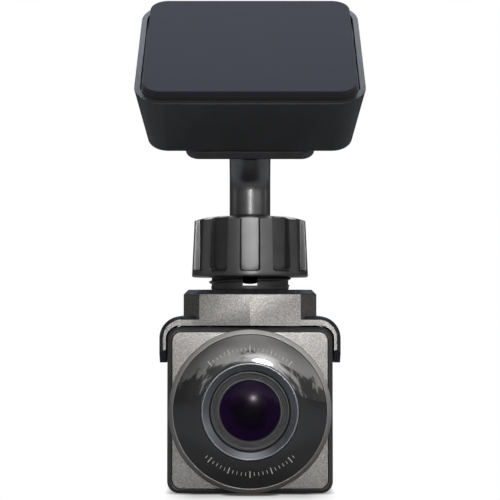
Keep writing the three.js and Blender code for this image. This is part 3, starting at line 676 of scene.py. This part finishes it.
def make_stem():
    """Ball, neck, upright rod and the bend that carries it forward to the foot."""
    leaning = Vector((0, -math.sin(LEAN), math.cos(LEAN)))
    corner = Vector((0, BALL.y, BEND_Z))
    start = corner - Vector((0, 0, BEND_REACH))
    end = corner + leaning * BEND_REACH
    profile = []
    neck_angle = math.asin(NECK_RADIUS / BALL_RADIUS)
    for i in range(25):
        a = math.pi - (math.pi - neck_angle) * i / 24
        profile.append((BALL.z + BALL_RADIUS * math.cos(a), BALL_RADIUS * math.sin(a)))
    profile += [(STEM_BOTTOM - 0.25, NECK_RADIUS), (STEM_BOTTOM, NECK_RADIUS + 0.25),
                (STEM_BOTTOM, STEM_RADIUS - 0.35), (STEM_BOTTOM + 0.1, STEM_RADIUS - 0.1),
                (STEM_BOTTOM + 0.35, STEM_RADIUS)]
    path = [(Vector((0, BALL.y, z)), 0.0, radius) for z, radius in profile]
    for i in range(21):
        t = i / 20
        point = start * (1 - t) ** 2 + corner * 2 * t * (1 - t) + end * t * t
        slope = (corner - start) * (1 - t) + (end - corner) * t
        path.append((point, math.atan2(-slope.y, slope.z), STEM_RADIUS))
    path.append((corner + leaning * STEM_REACH, LEAN, STEM_RADIUS))
    path.append((corner + leaning * (STEM_REACH + 0.28), LEAN, STEM_RADIUS + 0.15))
    loops = []
    for point, tilt, radius in path:
        turn = Matrix.Rotation(tilt, 3, "X")
        loops.append([point + turn @ Vector(p) for p in around(radius, 0, full_turn(64))])
    stem = loft("ball_stem_fine", loops, smooth=40)
    settle(stem, "windscreen_mount", "stem_metal", STEM_LACQUER, "ball_stem")


make_bracket()
make_pad()
make_foot()
make_stem()


# ---- Clamp nut ----

def smoothstep(low, high, value):
    """Rises smoothly from 0 to 1 as a value goes from low to high."""
    t = min(max((value - low) / (high - low), 0.0), 1.0)
    return t * t * (3 - 2 * t)


def rings(profile, angles):
    """A level circle about the ball's axis for each (radius, height)."""
    return [around(radius, z, angles, y=BALL.y) for radius, z in profile]


def flute_depth(across, z):
    """0 on a rib and 1 on a flute's floor: a slot with rounded lower corners, open at the top."""
    dx = max(abs(across) - (FLUTE_HALF - FLUTE_CORNER), 0.0)
    dz = max(FLUTE_BOTTOM + FLUTE_CORNER - z, 0.0)
    return 1.0 - smoothstep(-0.13, 0.07, math.hypot(dx, dz) - FLUTE_CORNER)


def nut_outside(z):
    """The rib radius at a height."""
    if z > NUT_SHOULDER:
        t = (z - NUT_SHOULDER) / (NUT_TOP - NUT_SHOULDER)
        return NUT_SHOULDER_RADIUS + (NUT_LAND_RADIUS - NUT_SHOULDER_RADIUS) * t
    t = (z - NUT_BOTTOM) / (NUT_SHOULDER - NUT_BOTTOM)
    return NUT_FOOT_RADIUS + (NUT_SHOULDER_RADIUS - NUT_FOOT_RADIUS) * t


def make_nut():
    """Flutes outside, a tapered mouth and a plain bore; its sections crowd together at flute walls."""
    half_unit = math.pi / FLUTES
    steps = [0, 0.5, 1.0, 1.5, 1.8, 1.98, 2.1, 2.17, 2.22, 2.27, 2.32, 2.37, 2.43, 2.53, 2.75, 3.1]
    offsets = [-s for s in reversed(steps[1:])] + steps
    turns = []
    for k in range(FLUTES):
        centre = 2 * half_unit * k - math.pi / 2
        turns += [(centre + s / NUT_FOOT_RADIUS, s) for s in offsets]
        turns.append((centre + half_unit, 2 * FLUTE_HALF))
    heights = [29.6, 30.0, 30.2, 30.3, 30.38, 30.46, 30.54, 30.62, 30.72, 30.84, 30.98, 31.14, 31.4,
               32.5, 35, 38, 41, 41.7, 41.95, 42.1, 42.25, 42.45, 42.65, 42.75, 42.8]
    foot = [(13.0, NUT_BOTTOM), (13.2, 29.2), (13.34, 29.34)]
    mouth = [(10.45, 42.84), (9.7, 42.84), (9.5, 42.7), (8.75, 40.7)]
    bore = [(8.75, 40.6), (9.86, 40.6), (9.86, 29.6), (10.3, NUT_BOTTOM)]
    angles = [a for a, _ in turns]
    loops = rings(foot, angles)
    for z in heights:
        rib = nut_outside(z)
        loop = []
        for a, across in turns:
            floor = min(rib, FLUTE_FLOOR + 0.12 * (across / FLUTE_HALF) ** 2)
            loop += around(rib + (floor - rib) * flute_depth(across, z), z, [a], y=BALL.y)
        loops.append(loop)
    loops += rings(mouth + bore, angles)
    nut = loft("clamp_nut_fine", loops, wrap=True, smooth=48)
    settle(nut, "clamp_nut", "nut_plastic", NUT_PLASTIC, "clamp_nut")


make_nut()


# ---- Split collet ----

def thread_height(angle, z):
    """From 0 at the thread's root to 1 at its crest, right-handed."""
    phase = (z / THREAD_PITCH - angle / (2 * math.pi)) % 1.0
    ridge = 1 - abs(phase - 0.5) * 2
    return smoothstep(0.52, 0.86, ridge)


def make_collet():
    """A threaded sleeve round the ball's socket, split in four by two slots."""
    angles = full_turn(120)
    start, runout, end = 26.5, 26.9, 37.3
    profile = [(SOCKET_RADIUS * math.sin(math.radians(SOCKET_FLOOR)), SLOT_FLOOR - 0.1),
               (0, SLOT_FLOOR - 0.1), (0, 26.3), (ROOT_RADIUS - 0.2, 26.3), (ROOT_RADIUS, start)]
    loops = rings(profile, angles)
    rows = 88
    for i in range(1, rows + 1):
        z = start + (end - start) * i / rows
        fade = smoothstep(runout, runout + 0.7, z) * smoothstep(end, end - 0.5, z)
        depth = (CREST_RADIUS - ROOT_RADIUS) * fade
        loop = []
        for a in angles:
            loop += around(ROOT_RADIUS + depth * thread_height(a, z), z, [a], y=BALL.y)
        loops.append(loop)
    profile = [(ROOT_RADIUS - 0.7, COLLET_TOP - 0.1), (ROOT_RADIUS - 0.85, COLLET_TOP), (6.35, COLLET_TOP)]
    for i in range(25):
        a = math.radians(SOCKET_MOUTH + (SOCKET_FLOOR - SOCKET_MOUTH) * i / 24)
        profile.append((SOCKET_RADIUS * math.sin(a), BALL.z + SOCKET_RADIUS * math.cos(a)))
    loops += rings(profile, angles)
    collet = loft("split_collet_fine", loops, wrap=True, smooth=40)
    cutters = []
    for turn in (0, math.pi / 2):
        spin = Matrix.Rotation(turn, 2)
        flat = [spin @ Vector(c) for c in outline(2 * SLOT_HALF, 24, 0.02, corner=1)]
        loops = [[(c.x, BALL.y + c.y, z) for c in flat] for z in (SLOT_FLOOR, COLLET_TOP + 1)]
        cutters.append(loft("slot_cutter", loops))
    carve(collet, cutters)
    bevel(collet, 0.08, angle=50, segments=2, smooth=40)
    settle(collet, "camera", "black_plastic", BLACK_PLASTIC, "split_collet")


make_collet()


# ---- Saddle ----

def arch_section(shrink):
    """The inverted U as one closed outline; shrink draws in only its outer line."""
    half, top, radius = SADDLE_HALF - shrink, SADDLE_TOP - shrink, SADDLE_CORNER - shrink
    foot = SADDLE_END + SADDLE_FOOT * shrink / SADDLE_CHAMFER
    toe = half - 1.0 + shrink / 2
    inner, inner_radius = SADDLE_INNER, SADDLE_INNER_CORNER
    points = [(half, foot)]
    points += arc(half - radius, top - radius, radius, 0, 90)
    points += arc(radius - half, top - radius, radius, 90, 90)
    points += [(-half, foot), (-toe, SADDLE_END), (-inner, SADDLE_END)]
    points += arc(inner_radius - inner, inner - inner_radius, inner_radius, 180, -90)
    points += arc(inner - inner_radius, inner - inner_radius, inner_radius, 90, -90)
    points += [(inner, SADDLE_END), (toe, SADDLE_END)]
    return points


def block_plan(inset=0.0):
    """The neck block from above: a ridge between two broad facets, front and back alike."""
    front, back = SADDLE_FRONT, SADDLE_BACK
    right = [(BLOCK_HALF, front + FACET_SETBACK), (BLOCK_HALF, back - FACET_SETBACK)]
    corners = [(0, front - RIDGE), (FACET_HALF, front), *right, (FACET_HALF, back), (0, back + RIDGE),
               (-FACET_HALF, back), *[(-x, y) for x, y in reversed(right)], (-FACET_HALF, front)]
    return inset_polygon([Vector(c) for c in corners], inset)


def inset_polygon(corners, inset):
    """A convex outline moved in by the same distance on every side."""
    moved = []
    for i, corner in enumerate(corners):
        before, after = corners[i - 1], corners[(i + 1) % len(corners)]
        a = (corner - before).normalized()
        b = (after - corner).normalized()
        normal_a, normal_b = Vector((-a.y, a.x)), Vector((-b.y, b.x))
        middle = (normal_a + normal_b).normalized()
        moved.append(corner + middle * (inset / middle.dot(normal_a)))
    return moved


def make_saddle():
    """The arch and the neck block in one; their narrow chamfers take a darker copy of the paint, which is painted
    shade.
    """
    levels = [(SADDLE_FRONT, SADDLE_CHAMFER), (SADDLE_FRONT + SADDLE_CHAMFER, 0),
              (SADDLE_BACK - SADDLE_CHAMFER, 0), (SADDLE_BACK, SADDLE_CHAMFER)]
    arch = loft("saddle_fine", [[(x, y, z) for x, z in arch_section(shrink)] for y, shrink in levels])
    levels = [(SADDLE_INNER + 0.02, 0), (BLOCK_TOP - BLOCK_CHAMFER, 0), (BLOCK_TOP, BLOCK_CHAMFER)]
    block = loft("saddle_block", [[(p.x, p.y, z) for p in block_plan(inset)] for z, inset in levels])
    carve(arch, [block], "UNION")
    drop = SADDLE_SLOPE - SADDLE_END
    wedge = [(SADDLE_FRONT - 1, SADDLE_SLOPE + 1), (SADDLE_FRONT - 1, SADDLE_END - 1),
             (SADDLE_FRONT + drop + 1, SADDLE_END - 1)]
    slope = loft("slope_cutter", [[(x, y, z) for y, z in wedge] for x in (-25, 25)])
    recess = loft("recess_cutter", rings([(7.3, 22.4), (7.3, 28)], full_turn(96)))
    carve(arch, [slope, recess])
    bevel(arch, 0.14, angle=25, segments=3, smooth=24)
    crease(arch, 9, 4)
    settle(arch, "camera", "sparkle_paint", SPARKLE_PAINT, "saddle")
    arch.data.materials.append(SHADED_CHAMFER_PAINT)
    # Faces that lean about 45 degrees off the front or the top are the chamfers; the darker copy paints shade on
    # them.
    top = (CAMERA_PLACE @ Vector((0, 0, SADDLE_TOP - 0.1))).z
    for face in arch.data.polygons:
        across, back, up = (abs(v) for v in face.normal)
        on_block = face.center.z > top
        lead, others = (up, (across, back)) if on_block else (back, (across, up))
        if lead > 0.4 and max(others) > 0.4:
            face.material_index = 1


make_saddle()


# ---- Housing, face plate and rear cover ----

def make_housing():
    """A square tube with a soft chamfer in front, a recess for the face plate and an open back."""
    bevelled = ((BODY_BEVEL, 0.0), (BODY_BEVEL - 0.2, 0.12), (0.12, BODY_BEVEL - 0.18),
                (0.0, BODY_BEVEL + 0.15), (0.0, HOUSING_BACK - 0.3), (0.25, HOUSING_BACK))
    hollow = ((CAVITY_HALF, 1.6, HOUSING_BACK), (CAVITY_HALF, 1.6, CAVITY_FRONT),
              (NECK_HALF, 1.6, CAVITY_FRONT), (NECK_HALF, 1.6, RECESS_FLOOR),
              (RECESS_HALF, 2.1, RECESS_FLOOR), (RECESS_HALF, 2.1, 0.0))
    loops = [square(BODY_HALF - inset, BODY_CORNER - inset, y) for inset, y in bevelled]
    loops += [square(half, radius, y) for half, radius, y in hollow]
    housing = loft("main_housing_fine", loops, wrap=True)
    cutters = []
    for node, size, sides in (("memory_card", (1.7, 11.6, 0.5), (15, 20)),
                              ("power_button", (8.35, 3.15, 1.45), (-20, -15))):
        at = middle(node)
        slot = [[(y, z, x) for y, z in outline(*size, x=at.y, y=at.z)] for x in sides]
        cutters.append(loft("slot_cutter", to_side(slot)))
    carve(housing, cutters)
    bevel(housing, 0.12, angle=50, segments=2, smooth=35)
    settle(housing, "camera", "black_plastic", BLACK_PLASTIC, "main_housing")


def make_face_plate():
    """A thin square plate with a round hole for the lens and softened edges."""
    def edge(inset, y):
        return square(PLATE_HALF - inset, PLATE_CORNER - inset, y, corner=12, side=20)

    def circle(radius, y):
        return [(radius * x / math.hypot(x, z), y, radius * z / math.hypot(x, z)) for x, _, z in edge(0, y)]

    loops = [edge(0, PLATE_THICKNESS), edge(0, 0.22), edge(0.07, 0.06), edge(0.2, 0.0),
             circle(LENS_HOLE + 0.15, 0.0), circle(LENS_HOLE, 0.15), circle(LENS_HOLE, PLATE_THICKNESS)]
    plate = loft("front_face_plate_fine", loops, wrap=True, smooth=30)
    settle(plate, "camera", "sparkle_paint", SPARKLE_PAINT, "front_face_plate")


def make_rear_cover():
    """A plate with a lip that sits inside the housing, so that no light passes through the seam."""
    size = (2 * BODY_HALF, 2 * BODY_HALF, BODY_CORNER)
    lip = ((LIP_INNER, COVER_FRONT), (LIP_INNER, LIP_FRONT), (LIP_OUTER, LIP_FRONT), (LIP_OUTER, COVER_FRONT))
    loops = [square(half, 1.4, y, corner=10) for half, y in lip]
    loops += to_back(block_loops(size, COVER_FRONT, BODY_BACK, (0.2, 0.9), steps=6))
    cover = loft("rear_cover_fine", loops)
    front, back = COVER_FRONT - 1, BODY_BACK + 1
    cutters = []
    for x in (-POST, POST):
        for z in (-POST, POST):
            profile = [(SCREW_HOLE, front), (SCREW_HOLE, SCREW_SEAT), (SCREW_SEAT_RADIUS, SCREW_SEAT),
                       (SCREW_SEAT_RADIUS, back)]
            cutters.append(turned_back("hole_cutter", profile, 32, wrap=False, x=x, z=z))
    at = middle("usb_socket")
    flat = outline(9.9, 4.2, 1.8, x=at.x, y=at.z)
    cutters.append(loft("socket_cutter", [[(x, y, z) for x, z in flat] for y in (front, back)]))
    at = middle("speaker")
    holes = [(at.x, at.z, 0.42)]
    for count, radius in ((6, 1.5), (12, 3.0)):
        holes += [(x, z, 0.42) for x, z, _ in around(radius, 0, full_turn(count), at.x, at.z)]
    holes.append((0.0, -6.0, 0.5))
    for node, radius in (("event_button", 3.3), ("status_light_guide", 1.05)):
        at = middle(node)
        holes.append((at.x, at.z, radius))
    for x, z, radius in holes:
        segments = 40 if radius > 1 else 20
        profile = [(radius, front), (radius, back)]
        cutters.append(turned_back("hole_cutter", profile, segments, wrap=False, x=x, z=z))
    carve(cover, cutters)
    bevel(cover, 0.1, angle=50, segments=2, smooth=30)
    settle(cover, "camera", "black_plastic", BLACK_PLASTIC, "rear_cover")


make_housing()
make_face_plate()
make_rear_cover()


# ---- Lens front ----

FASCIA = [(10.62, -3.72), (11.6, -3.66), (13.0, -3.48), (14.4, -3.22), (15.6, -2.92), (16.46, -2.66)]


def fascia_depth(radius):
    """How far the domed fascia stands in front of the plate at a radius."""
    for (r0, y0), (r1, y1) in zip(FASCIA, FASCIA[1:]):
        if r0 <= radius <= r1:
            return y0 + (y1 - y0) * (radius - r0) / (r1 - r0)
    return FASCIA[-1][1]


def make_lens_front():
    """Trim ring, fascia, funnel, stepped retaining ring and glass, each turned about the lens axis."""
    trim = [(TRIM_BORE, -2.66), (16.62, -2.78), (TRIM_RADIUS, -2.5), (TRIM_RADIUS, -0.12), (13.4, -0.12),
            (13.4, -1.0), (TRIM_BORE, -1.0)]
    fascia = FASCIA + [(16.46, -1.2), (10.6, -1.2)]
    funnel = [(10.15, -3.85), (FUNNEL_RADIUS, -3.8), (FUNNEL_RADIUS, -0.9), (13.0, -0.9), (13.0, 5.0),
              (FUNNEL_BORE, 5.0), (FUNNEL_BORE, -2.8), (8.82, -2.95)]
    retainer = [(RETAINER_RADIUS, 1.5), (RETAINER_RADIUS, -1.5), (8.5, -1.65), (8.2, -1.68)]
    for i in range(4):
        r, y = 7.95 - 0.28 * i, -1.58 + 0.06 * i
        retainer += [(r, y), (r - 0.06, y + 0.12), (r - 0.18, y + 0.12)]
    retainer += [(6.72, -1.3), (RETAINER_BORE, -1.05), (RETAINER_BORE, 1.5)]
    cap = math.radians(58)
    glass = []
    for i in range(17):
        a = cap * i / 16
        glass.append((GLASS_RADIUS * math.sin(a) / math.sin(cap), GLASS_FRONT * math.cos(a)))
    glass += [(GLASS_RADIUS, 1.4), (0.0, 1.4)]
    for node, profile, segments, smooth, slot, material in (
            ("trim_ring", softened(trim, 0.12), 192, 35, "trim_metal", TRIM_METAL),
            ("lens_fascia", fascia, 192, 20, "gloss_black", GLOSS_BLACK),
            ("funnel_ring", softened(funnel, 0.08), 160, 35, "dark_metal", DARK_METAL),
            ("retaining_ring", retainer, 160, 25, "dark_metal", RETAINER_METAL),
            ("front_glass", glass, 128, 35, "lens_glass", LENS_GLASS)):
        wrap = node != "front_glass"
        piece = turned_back(f"{node}_fine", profile, segments, wrap=wrap, smooth=smooth)
        settle(piece, "camera", slot, material, node)


def make_marks():
    """Plain graduation ticks printed on the fascia, above and below the glass."""
    vertices, faces = [], []

    def tick(angle, r0, r1, half_width):
        base = len(vertices)
        out = Vector((math.cos(angle), math.sin(angle)))
        side = Vector((-out.y, out.x)) * half_width
        for lift in (0.03, -0.05):
            for r, s in ((r0, -1), (r0, 1), (r1, 1), (r1, -1)):
                p = out * r + side * s
                vertices.append((p.x, fascia_depth(r) - lift, p.y))
        faces.extend([tuple(base + i for i in f) for f in
                      ((0, 1, 2, 3), (7, 6, 5, 4), (0, 4, 5, 1), (1, 5, 6, 2), (2, 6, 7, 3), (3, 7, 4, 0))])

    step = 4
    for centre, spread in ((90, 40), (270, 44)):
        for k in range(-spread // step, spread // step + 1):
            major = k % 5 == 0
            r0, r1 = (12.7, 14.1) if major else (13.0, 13.75)
            tick(math.radians(centre + k * step), r0, r1, 0.11 if major else 0.07)
    marks = build("fascia_marks", vertices, faces, CAMERA_PLACE)
    settle(marks, "camera", "gloss_black", INK)


make_lens_front()
make_marks()


# ---- Buttons, card, screws and the pieces carried over from the frame ----

def make_event_button():
    """A round cap dished in the middle, with a flange and a stub behind the cover."""
    at = middle("event_button")
    back = span("event_button")[1].y
    profile = [(0.0, back - 0.22), (1.2, back - 0.2), (2.2, back - 0.06), (2.6, back), (2.85, back - 0.08),
               (3.0, back - 0.35), (3.0, 33.7), (3.8, 33.7), (3.8, 32.9), (1.2, 32.9), (1.2, 31.5),
               (0.0, 31.5)]
    button = turned_back("event_button_fine", profile, 64, wrap=False, x=at.x, z=at.z)
    settle(button, "event_button", "black_plastic", NUT_PLASTIC, "event_button")


def side_block(name, size, low, high, fillets, at):
    """A filleted block that runs sideways; its size is (depth, height, corner)."""
    return loft(name, to_side(block_loops(size, low, high, fillets, (at.y, at.z))))


def make_power_button():
    """A long cap with a flange and a stub inside the housing."""
    at = middle("power_button")
    side = span("power_button")[0].x
    button = side_block("power_button_fine", (8.0, 2.8, 1.3), side, side + 2.9, (0.35, 0.05), at)
    flange = side_block("button_flange", (9.6, 4.4, 1.6), -16.1, -15.3, (0.1, 0.1), at)
    stub = side_block("button_stub", (1.6, 1.6, 0.3), -15.6, -14.8, (0.05, 0.1), at)
    carve(button, [flange, stub], "UNION")
    shade(button, 35)
    settle(button, "power_button", "black_plastic", NUT_PLASTIC, "power_button")


def make_card():
    """A memory card with a raised lip to pull it by."""
    at = middle("memory_card")
    low, high = (corner.x for corner in span("memory_card"))
    card = side_block("memory_card_fine", (0.9, 11.0, 0.18), low, high, (0.12, 0.2), at)
    lip = side_block("card_lip", (1.25, 8.6, 0.25), high - 0.9, high, (0.15, 0.2), at)
    carve(card, [lip], "UNION")
    shade(card, 35)
    settle(card, "memory_card", "chip_plastic", CARD_PLASTIC, "memory_card")


def make_cover_screws():
    """Domed heads with a cross recess, sunk in the rear cover."""
    for i, (sx, sz) in enumerate(((-1, -1), (1, -1), (1, 1), (-1, 1))):
        x, z = sx * POST, sz * POST
        profile = softened([(0.0, 35.72), (1.3, 35.68), (1.7, 35.5), (1.7, 34.95), (0.72, 34.9), (0.72, 27.0),
                            (0.0, 27.0)], 0.1, closed=False)
        screw = turned_back(f"cover_screw_fine_{i + 1}", profile, 48, wrap=False, x=x, z=z)
        arms = [loft("arm_cutter", to_back(block_loops((w, h, 0.1), 35.2, 36.5, (0, 0), (x, z))))
                for w, h in ((1.9, 0.36), (0.36, 1.9))]
        carve(screw, arms)
        shade(screw, 30)
        settle(screw, "camera", "screw_steel", SCREW_STEEL, f"cover_screw_{i + 1}")


CARRIED = {
    BOARD: ("sensor_board", "main_board"),
    ALUMINIUM: ("heat_spreader", "antenna_module", "microphone"),
    CHIP_PLASTIC: ("lens_holder", "image_sensor", "board_connector", "processor", "speaker", "event_switch",
                   "power_switch"),
    SEAT_PLASTIC: ("lower_ball_seat", "upper_ball_seat", "supercapacitor"),
    SCREW_STEEL: ("foot_screw_1", "foot_screw_2", "stem_screw", "collet_screw", "thrust_ring", "usb_socket",
                  "card_socket", "saddle_screw_1", "saddle_screw_2", "saddle_screw_3", "saddle_screw_4"),
    DARK_METAL: ("lens_barrel",),
    LENS_GLASS: ("inner_element", "rear_element", "ir_filter"),
    LIGHT_PIPE: ("status_light_guide",),
}


def finish_carried():
    """Hidden and small CAD nodes keep their shapes and take a material and softened edges."""
    for material, names in CARRIED.items():
        for name in names:
            node = frame["nodes"][name]
            node.data.materials.clear()
            node.data.materials.append(material)
            edge = node.modifiers.new("edge", "BEVEL")
            edge.width = 0.08 * MM
            edge.segments = 2
            edge.limit_method = "ANGLE"
            edge.angle_limit = math.radians(40)


make_event_button()
make_power_button()
make_card()
make_cover_screws()
finish_carried()


# ---- Stage ----

EYE_DISTANCE = 304.5
EYE_HEIGHT = 23.9
EYE_TILT = math.radians(2.05)
FOCAL_LENGTH = 100.8
FLOOR_HALF = 3000.0
FLOOR_GLOW = 1.0
SHADOW_DEPTH = 0.5
LIGHT_DISTANCE = 700.0
SKY = 0.4
ROOM = 0.05
# Each glow: azimuth, elevation and the angle over which it fades, in degrees, and its radiance
SKY_GLOWS = ((2.0, 8.0, 32.0, 1.8), (46.0, 3.0, 32.0, 1.75), (-30.0, 6.0, 34.0, 0.25))
GLOWS = ((2.8, 6.4, 2.5, 160.0), (3.4, 8.0, 8.0, 4.5), (0.0, 50.0, 30.0, 1.8),
         (98.0, 12.0, 20.0, 0.55), (-96.0, 12.0, 20.0, 0.6))


def make_stage():
    """A floor that is white with a soft contact shadow to the camera and grey to all other light."""
    floor_z = -BODY_HALF - 0.05
    mesh = bpy.data.meshes.new("studio_floor")
    corners = [(x * FLOOR_HALF, y * FLOOR_HALF, floor_z) for x, y in ((-1, -1), (1, -1), (1, 1), (-1, 1))]
    mesh.from_pydata(corners, [], [(0, 1, 2, 3)])
    mesh.transform(CAMERA_PLACE)
    floor = stand("studio_floor", mesh)
    n = Nodes("floor_paper")
    n.set(Base_Color=(0.3, 0.3, 0.3), Roughness=0.9)
    lit = n.mapped(n.openness(1.6), 0.55, FLOOR_GLOW, 0.4, 0.98)
    axes = n.add("ShaderNodeSeparateXYZ")
    n.link(n.place, axes.inputs[0])
    shadow = SHADOW_DEPTH
    for axis, middle, start, end in (("X", LENS.x, -18.5, -12.0), ("X", LENS.x, 18.5, 12.0),
                                     ("Y", LENS.y, -12.0, -1.0), ("Y", LENS.y, 48.0, 36.0)):
        side = n.mapped(axes.outputs[axis], 0.0, 1.0, middle + start * MM, middle + end * MM)
        shadow = n.math("MULTIPLY", side, shadow)
    glow = n.add("ShaderNodeEmission")
    n.link(n.math("SUBTRACT", lit, shadow), glow.inputs["Strength"])
    output = n.tree.nodes["Material Output"]
    n.link(n.for_camera(n.shader.outputs[0], glow.outputs[0]), output.inputs["Surface"])
    floor.data.materials.append(n.material)


class Directions(Nodes):
    """A short way to write the light that arrives from each direction round the object."""

    def __init__(self, name):
        self.world = bpy.data.worlds.new(name)
        self.world.use_nodes = True
        self.tree = self.world.node_tree
        self.place = self.add("ShaderNodeTexCoord").outputs["Generated"]

    def glow(self, azimuth, elevation, spread, radiance):
        """Light that fades smoothly from one direction out to an angle round it."""
        towards = self.add("ShaderNodeVectorMath", operation="DOT_PRODUCT")
        self.link(self.place, towards.inputs[0])
        towards.inputs[1].default_value = direction(azimuth, elevation)
        inside = self.mapped(towards.outputs["Value"], 0.0, 1.0, math.cos(math.radians(spread)), 1.0)
        return self.math("MULTIPLY", self.math("POWER", inside, 2.0), radiance)


def direction(azimuth, elevation):
    """The direction at an azimuth (0 in front, 90 to the right) and an elevation, in degrees."""
    a, e = math.radians(azimuth), math.radians(elevation)
    return Vector((math.sin(a) * math.cos(e), -math.cos(a) * math.cos(e), math.sin(e)))


def make_world():
    """A dim room with a bright, uneven sky low in front, over a ragged dark horizon."""
    n = Directions("studio")
    axes = n.add("ShaderNodeSeparateXYZ")
    n.link(n.place, axes.inputs[0])
    right, back, up = axes.outputs
    ragged = n.mapped(n.noise(6.5, 5, 0.62, stretch=(1.0, 1.0, 0.9)), -0.20, 0.40, 0.25, 0.75)
    above = n.mapped(n.math("SUBTRACT", up, ragged), 0.16, 1.0, 0.0, 0.05)
    below_top = n.mapped(up, 1.0, 0.0, 0.62, 0.88)
    in_front = n.mapped(back, 1.0, 0.0, -0.78, -0.36)
    to_right = n.mapped(right, 0.5, 1.55, -0.6, 0.6)
    cloud = n.mapped(n.noise(2.2, 4, 0.6), 0.8, 1.15, 0.35, 0.65)
    sky = SKY
    for part in (below_top, in_front, to_right):
        sky = n.math("MULTIPLY", part, sky)
    for glow in SKY_GLOWS:
        sky = n.math("ADD", sky, n.glow(*glow))
    strength = n.math("MULTIPLY", n.math("MULTIPLY", above, cloud), sky)
    for glow in GLOWS:
        strength = n.math("ADD", strength, n.glow(*glow))
    strength = n.math("ADD", strength, ROOM)
    room = n.tree.nodes["Background"]
    room.inputs["Color"].default_value = (1.0, 0.985, 0.965, 1)
    n.link(strength, room.inputs["Strength"])
    shown = n.add("ShaderNodeBackground")
    shown.inputs["Color"].default_value = (1, 1, 1, 1)
    shown.inputs["Strength"].default_value = FLOOR_GLOW
    n.link(n.for_camera(room.outputs[0], shown.outputs[0]), n.tree.nodes["World Output"].inputs[0])
    bpy.context.scene.world = n.world
    bpy.context.scene.view_settings.view_transform = "Standard"


def soft_light(name, azimuth, elevation, width, height, radiance, colour=(1, 1, 1)):
    """A soft box that faces the object from an azimuth and an elevation."""
    place = direction(azimuth, elevation) * LIGHT_DISTANCE
    target = Vector((0, 0, 20))
    data = bpy.data.lights.new(name, "AREA")
    data.shape = "RECTANGLE"
    data.size, data.size_y = width * MM, height * MM
    data.energy = radiance * math.pi * width * height * MM * MM
    data.color = colour
    light = stand(name, data)
    light.location = CAMERA_PLACE @ (place + target)
    light.rotation_euler = (-place).to_track_quat("-Z", "Y").to_euler()
    light.visible_camera = False


def make_camera():
    data = bpy.data.cameras.new("studio_camera")
    data.sensor_width = 36
    data.lens = FOCAL_LENGTH
    data.clip_start = 0.01
    eye = stand("studio_camera", data)
    eye.location = CAMERA_PLACE @ Vector((0, -EYE_DISTANCE, EYE_HEIGHT))
    eye.rotation_euler = (math.pi / 2 + EYE_TILT, 0, 0)
    bpy.context.scene.camera = eye


make_stage()
make_world()
make_camera()
soft_light("rear_top_light", 180, 66, 600, 160, 8.0, (0.80, 0.87, 1.0))
soft_light("rear_light", 180, 20, 500, 200, 2.4)
soft_light("rear_left_light", -138, 30, 260, 300, 2.0)
soft_light("rear_right_light", 138, 30, 260, 300, 2.4)
